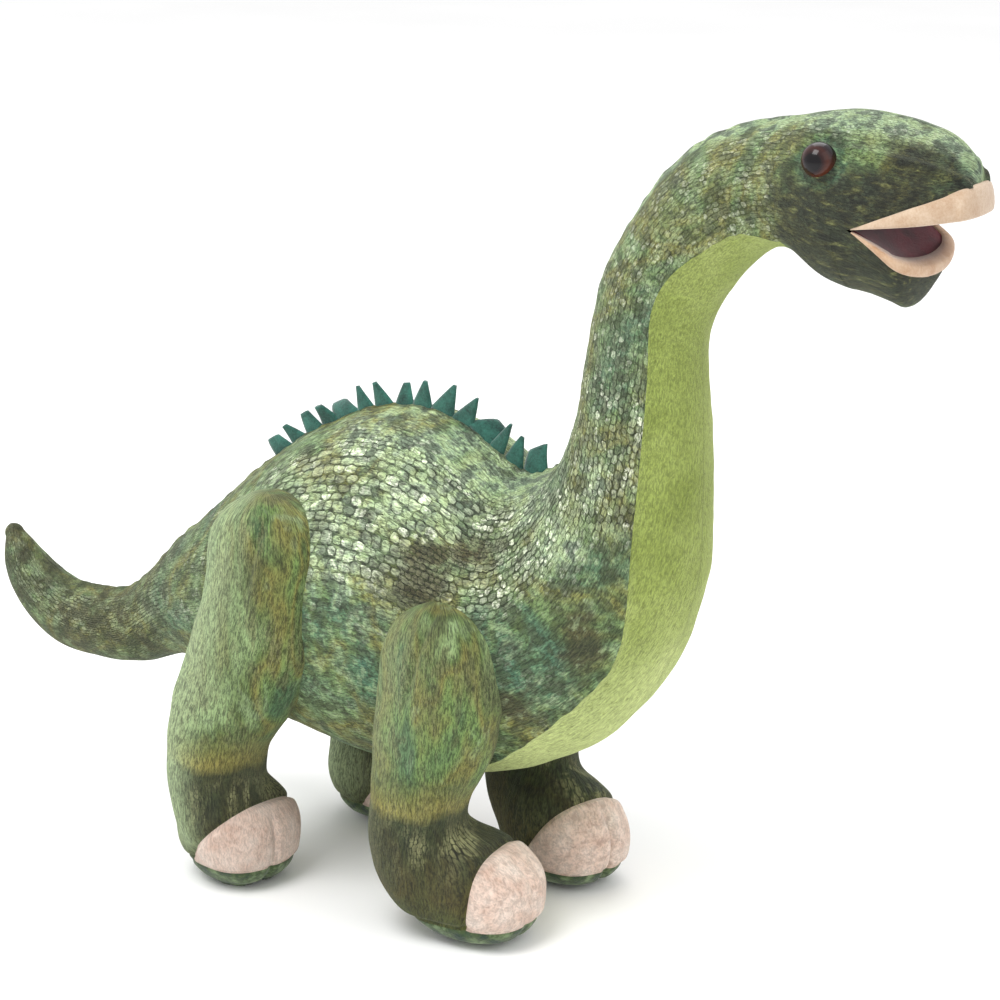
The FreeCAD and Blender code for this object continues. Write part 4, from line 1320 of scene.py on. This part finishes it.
def leg_loops(leg):
    """Horizontal ellipses of a leg, from the foot to the top of the hip."""
    hip, back = leg.hip, LEG_BACK[leg.kind]
    place_x, place_y = leg.own["place"]
    table = []
    for angle in (84, 74, 62, 50, 38, 25, 12, 0):
        a = math.radians(angle)
        table.append((hip[0], hip[2] + HIP_RADIUS * math.sin(a), HIP_RADIUS * math.cos(a),
                      HIP_WIDE * math.cos(a) ** 0.55, leg.y))
    for share, length, width, behind in LEG_LOOPS[leg.kind]:
        below = 1 - share
        x = hip[0] - back * behind + (place_x - leg.own["shift"]) * below
        table.append((x, hip[2] * share, length, width, leg.y + place_y * below))
    order = np.array(table)[::-1]
    z = np.linspace(order[0, 1], order[-1, 1], LOOP_COUNT)
    smooth_table = np.stack([np.interp(z, order[:, 1], order[:, k]) for k in (0, 2, 3, 4)], -1)
    kernel = np.array([1, 2, 3, 2, 1]) / 9
    for k in range(4):
        padded = np.pad(smooth_table[:, k], 2, mode="edge")
        smooth_table[:, k] = np.convolve(padded, kernel, mode="valid")
    return [(x, side, height, a, b) for (x, a, b, side), height in zip(smooth_table, z)]


def cloth_swell(obj):
    """A short pressure run that fills the fabric out; no point moves further than the reach."""
    before = vertex_array(obj)
    group = obj.vertex_groups.new(name="held")
    inner = [i for i, p in enumerate(before) if abs(p[1]) < HELD_WIDE or p[2] < HELD_LOW]
    group.add(inner, 1.0, "REPLACE")
    modifier = obj.modifiers.new("cloth", "CLOTH")
    settings = modifier.settings
    settings.quality = 5
    settings.mass = 0.2
    settings.tension_stiffness = 20
    settings.compression_stiffness = 20
    settings.shear_stiffness = 8
    settings.bending_stiffness = 0.4
    settings.use_pressure = True
    settings.uniform_pressure_force = CLOTH_PRESSURE
    settings.vertex_group_mass = "held"
    settings.effector_weights.gravity = 0
    modifier.collision_settings.use_collision = False
    scene = bpy.context.scene
    modifier.point_cache.frame_start = 1
    modifier.point_cache.frame_end = CLOTH_FRAMES
    for number in range(1, CLOTH_FRAMES + 1):
        scene.frame_set(number)
    evaluated = obj.evaluated_get(bpy.context.evaluated_depsgraph_get())
    after = np.zeros(len(before) * 3, np.float32)
    evaluated.data.vertices.foreach_get("co", after)
    after = after.reshape(-1, 3).astype(float) / MM
    move = after - before
    length = np.linalg.norm(move, axis=1, keepdims=True)
    move *= np.minimum(1.0, CLOTH_REACH / np.maximum(length, 1e-9))
    obj.modifiers.remove(modifier)
    scene.frame_set(1)
    set_vertices(obj, before + move)


class Leg:
    """Where one leg stands, its relief, and how it is cut into leg, toe cap and sole. Lengths are in mm."""

    def __init__(self, name):
        self.name = name
        self.own = LEGS[name]
        self.kind = name.split("_")[0]
        self.side = 1 if name.endswith("left") else -1
        self.hip = JOINT[name + "_swing"]
        self.y = float(self.hip[1])
        sole_low, sole_high = (np.array(c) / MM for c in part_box(name + "_sole"))
        self.foot_x = (sole_low[0] + sole_high[0]) / 2 + self.own["place"][0]
        self.foot_y = (sole_low[1] + sole_high[1]) / 2 + self.own["place"][1]
        self.turn = math.radians(self.own["turn"])
        ahead = Vector((math.cos(self.turn), math.sin(self.turn), 0))
        self.plane_no = (ahead - Vector((0, 0, self.own["lean"]))).normalized()
        self.plane_co = Vector((self.foot_x, self.foot_y, FOOT_Z)) + ahead * self.own["start"]

    def into_toe(self, co):
        """How far each point lies ahead of the toe seam's plane."""
        return (co - np.array(self.plane_co)) @ np.array(self.plane_no)

    def is_toe(self, c):
        """Whether a face with its middle at c belongs to the toe cap."""
        return (c - self.plane_co).dot(self.plane_no) > 0 and SOLE_Z < c.z < TOE_TOP

    def foot_point(self, p):
        """Place on the foot, in metres, of a point of the unit sphere."""
        front = self.own["front"]
        px = math.copysign(abs(p.x) ** 0.74, p.x) * (front if p.x > 0 else FOOT_HALF[0])
        py = math.copysign(abs(p.y) ** 0.78, p.y) * FOOT_HALF[1]
        pz = math.copysign(abs(p.z) ** 0.78, p.z) * FOOT_HALF[2]
        if px < 0:
            px *= 1 - HEEL_TUCK * max(0.0, -p.z) ** 1.4
        elif pz > 0:
            pz *= 1 - self.own["fall"] * px / front
        cos, sin = math.cos(self.turn), math.sin(self.turn)
        turned = Vector((px * cos - py * sin, px * sin + py * cos, 0))
        return Vector((self.foot_x + turned.x, self.foot_y + turned.y, max(0.3, FOOT_Z + pz))) * MM

    def add_foot(self, bm):
        """Adds the rounded foot to the leg's mesh."""
        foot = bmesh.ops.create_uvsphere(bm, u_segments=48, v_segments=32, radius=1.0)
        for vert in foot["verts"]:
            vert.co = self.foot_point(vert.co)

    def form(self):
        """The stuffed leg with its foot as one work mesh."""
        obj = new_mesh(self.name + "_work", *tube(leg_loops(self)))
        edit_mesh(obj, self.add_foot)
        turn_faces_out(obj)
        run_modifier(obj, "REMESH", mode="VOXEL", voxel_size=LEG_VOXEL * MM)
        run_modifier(obj, "SMOOTH", factor=0.6, iterations=6)
        cloth_swell(obj)
        run_modifier(obj, "SMOOTH", factor=0.5, iterations=3)
        run_modifier(obj, "SUBSURF", levels=1)
        run_modifier(obj, "SUBSURF", levels=1)
        return obj

    def relief(self, co, normals):
        """How far the plush stands out: lumps, hip dart, knee fold, seams and the crease of the toes."""
        hip, z = self.hip, co[:, 2]
        out = lumps(co, 26.0, 5) * 0.9 + lumps(co, 11.0, 6) * 0.4
        outside = smooth(0.2, 0.8, normals[:, 1] * self.side)
        dart_x = hip[0] + (-2 if self.kind == "front" else 4)
        dart = co[:, 0] - dart_x - (z - hip[2]) * 0.25
        out -= ridge(dart, 1.6, 1.7) * smooth(hip[2] - 18, hip[2] - 6, z) * outside
        out -= ridge(z - hip[2] * KNEE, 0.9, 6) * smooth(0.1, 0.8, normals[:, 0])
        into = self.into_toe(co)
        low = smooth(46, 40, z)
        out -= ridge(into, 1.3, 1.5) * low * smooth(SOLE_Z - 3, SOLE_Z, z)
        from_x, from_y = co[:, 0] - self.foot_x, co[:, 1] - self.foot_y
        beside = from_y * math.cos(self.turn) - from_x * math.sin(self.turn)
        out -= ridge(beside - self.side * 2.0, self.own["crease"], 1.8) * smooth(3, 12, into) * low
        out -= ridge(z - SOLE_Z - 0.8, 0.9, 1.2)
        return out

    def set_looks(self, obj, normals, plain_z):
        """Stores what the materials need: pile pattern, height, dye patches, a painted highlight on the side
        facing backwards. The heights before the relief place the middle of the leg."""
        co = vertex_array(obj)
        ankle_x = self.foot_x - FOOT_AHEAD[self.kind]
        centre_x = np.interp(plain_z, [0, self.hip[2] * ANKLE, self.hip[2]], [ankle_x, ankle_x, self.hip[0]])
        around = np.arctan2((co[:, 0] - centre_x), (co[:, 1] - self.y) * self.side)
        cells = np.stack((co[:, 2] / LEG_CELL, around * LEG_ROUND / LEG_CELL, np.zeros(len(co))), -1)
        height = co[:, 2] / self.hip[2] * (1.0 if self.kind == "front" else 1.25)
        strength = np.clip(0.25 + 0.5 * lumps(co, 30.0, 8), 0.0, 0.8) * smooth(0.2, 0.3, height)
        strength = np.maximum(strength, ridge(height - 0.36, 1.0, 0.07) * smooth(0.0, 0.6, normals[:, 0]))
        # painted highlight on the side facing backwards, for the leg material
        rear_highlight = smooth(0.3, -0.5, normals[:, 0])
        if self.kind == "front":
            rear_highlight = rear_highlight * (0.3 * smooth(0.5, 0.75, height))
        else:
            rear_highlight = rear_highlight * smooth(0.05, 0.2, height)
        set_attribute(obj, "cells", "FLOAT_VECTOR", cells)
        set_attribute(obj, "look", "FLOAT_VECTOR", np.stack((height, strength, rear_highlight), -1))
        set_rest(obj)

    def cut(self, obj):
        """The work mesh cut into leg, toe cap and sole."""
        gone = {"leg": lambda c: self.is_toe(c) or c.z < SOLE_Z,
                "toe": lambda c: not self.is_toe(c),
                "sole": lambda c: c.z > SOLE_Z}
        parts = {}
        for part, test in gone.items():
            copy = obj.copy()
            copy.data = obj.data.copy()
            copy.name = f"{self.name}_{part}_plush"
            copy.data.name = copy.name
            bpy.context.scene.collection.objects.link(copy)
            split_plane(copy, self.plane_co, self.plane_no)
            split_plane(copy, (0, 0, SOLE_Z), (0, 0, 1))
            split_plane(copy, (0, 0, TOE_TOP), (0, 0, 1))
            drop_faces(copy, test)
            parts[part] = copy
        bpy.data.objects.remove(obj)
        return parts


def build_leg(leg):
    """One leg as three pieces: plush leg, toe cap and sole."""
    made = Leg(leg)
    obj = made.form()
    co, normals = vertex_array(obj), normal_array(obj)
    plain_z = co[:, 2]
    co = co + normals * made.relief(co, normals)[:, None]
    co[:, 2] = np.where(co[:, 2] < 1.2, np.maximum(co[:, 2] * 0.4, 0.0), co[:, 2])   # flat underneath
    set_vertices(obj, co)
    made.set_looks(obj, normals, plain_z)
    parts = made.cut(obj)
    toe_co = vertex_array(parts["toe"])
    rise = smooth(0.0, 3.0, made.into_toe(toe_co)) * smooth(SOLE_Z, SOLE_Z + 3, toe_co[:, 2])
    set_vertices(parts["toe"], toe_co + normal_array(parts["toe"]) * (rise * TOE_PROUD)[:, None])
    finish_piece(parts["leg"], MATERIALS["far_leg" if made.side > 0 else "leg"],
                 [f"{leg}_leg_stuffing", f"{leg}_leg_outer_panel", f"{leg}_leg_inner_panel"])
    finish_piece(parts["toe"], MATERIALS["toe"], [leg + "_toe_cap"])
    finish_piece(parts["sole"], MATERIALS["sole"], [leg + "_sole"])
    for copy in parts.values():
        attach(copy, leg + "_leg")


for leg_name in LEGS:
    build_leg(leg_name)

# ---------------------------------------------------------------- stage, light and camera

FLOOR_HALF = 4000
floor_corners = [(x * FLOOR_HALF, y * FLOOR_HALF, 0) for x, y in ((-1, -1), (1, -1), (1, 1), (-1, 1))]
floor = new_mesh("floor", floor_corners, [(0, 1, 2, 3)])
floor.data.materials.append(floor_material())

world = bpy.data.worlds.new("studio")
bpy.context.scene.world = world
world.use_nodes = True
world.node_tree.nodes["Background"].inputs[0].default_value = (1, 1, 1, 1)
world.node_tree.nodes["Background"].inputs[1].default_value = 1.0


def aim(obj, azimuth, elevation, distance, target):
    """Places a lamp or the camera round the target, in degrees from the right side, looking at it."""
    a, e = math.radians(azimuth), math.radians(elevation)
    back = Vector((math.sin(a) * math.cos(e), -math.cos(a) * math.cos(e), math.sin(e)))
    bpy.context.scene.collection.objects.link(obj)
    obj.location = target + back * distance
    obj.rotation_mode = "QUATERNION"
    obj.rotation_quaternion = (-back).to_track_quat("-Z", "Y")


def area_light(name, azimuth, elevation, distance, size, power):
    """A square soft light looking at the middle of the toy."""
    data = bpy.data.lights.new(name, "AREA")
    data.size = size
    data.energy = power
    aim(bpy.data.objects.new(name, data), azimuth, elevation, distance, toy_middle)


toy_middle = sum((Vector(c) for c in CAD_BOX), Vector()) / 2
area_light("key", -10, 60, 1.6, 0.8, 16)
area_light("fill", 80, 35, 1.8, 1.4, 4)
area_light("rim", 200, 55, 1.8, 1.2, 9)

camera_data = bpy.data.cameras.new("camera")
camera_data.sensor_width = 36
camera_data.lens = 104.2
camera = bpy.data.objects.new("camera", camera_data)
aim(camera, 31, 16, 1.1, Vector((0.0303, 0, 0.160)))
bpy.context.scene.camera = camera
bpy.context.scene.view_settings.view_transform = "Standard"
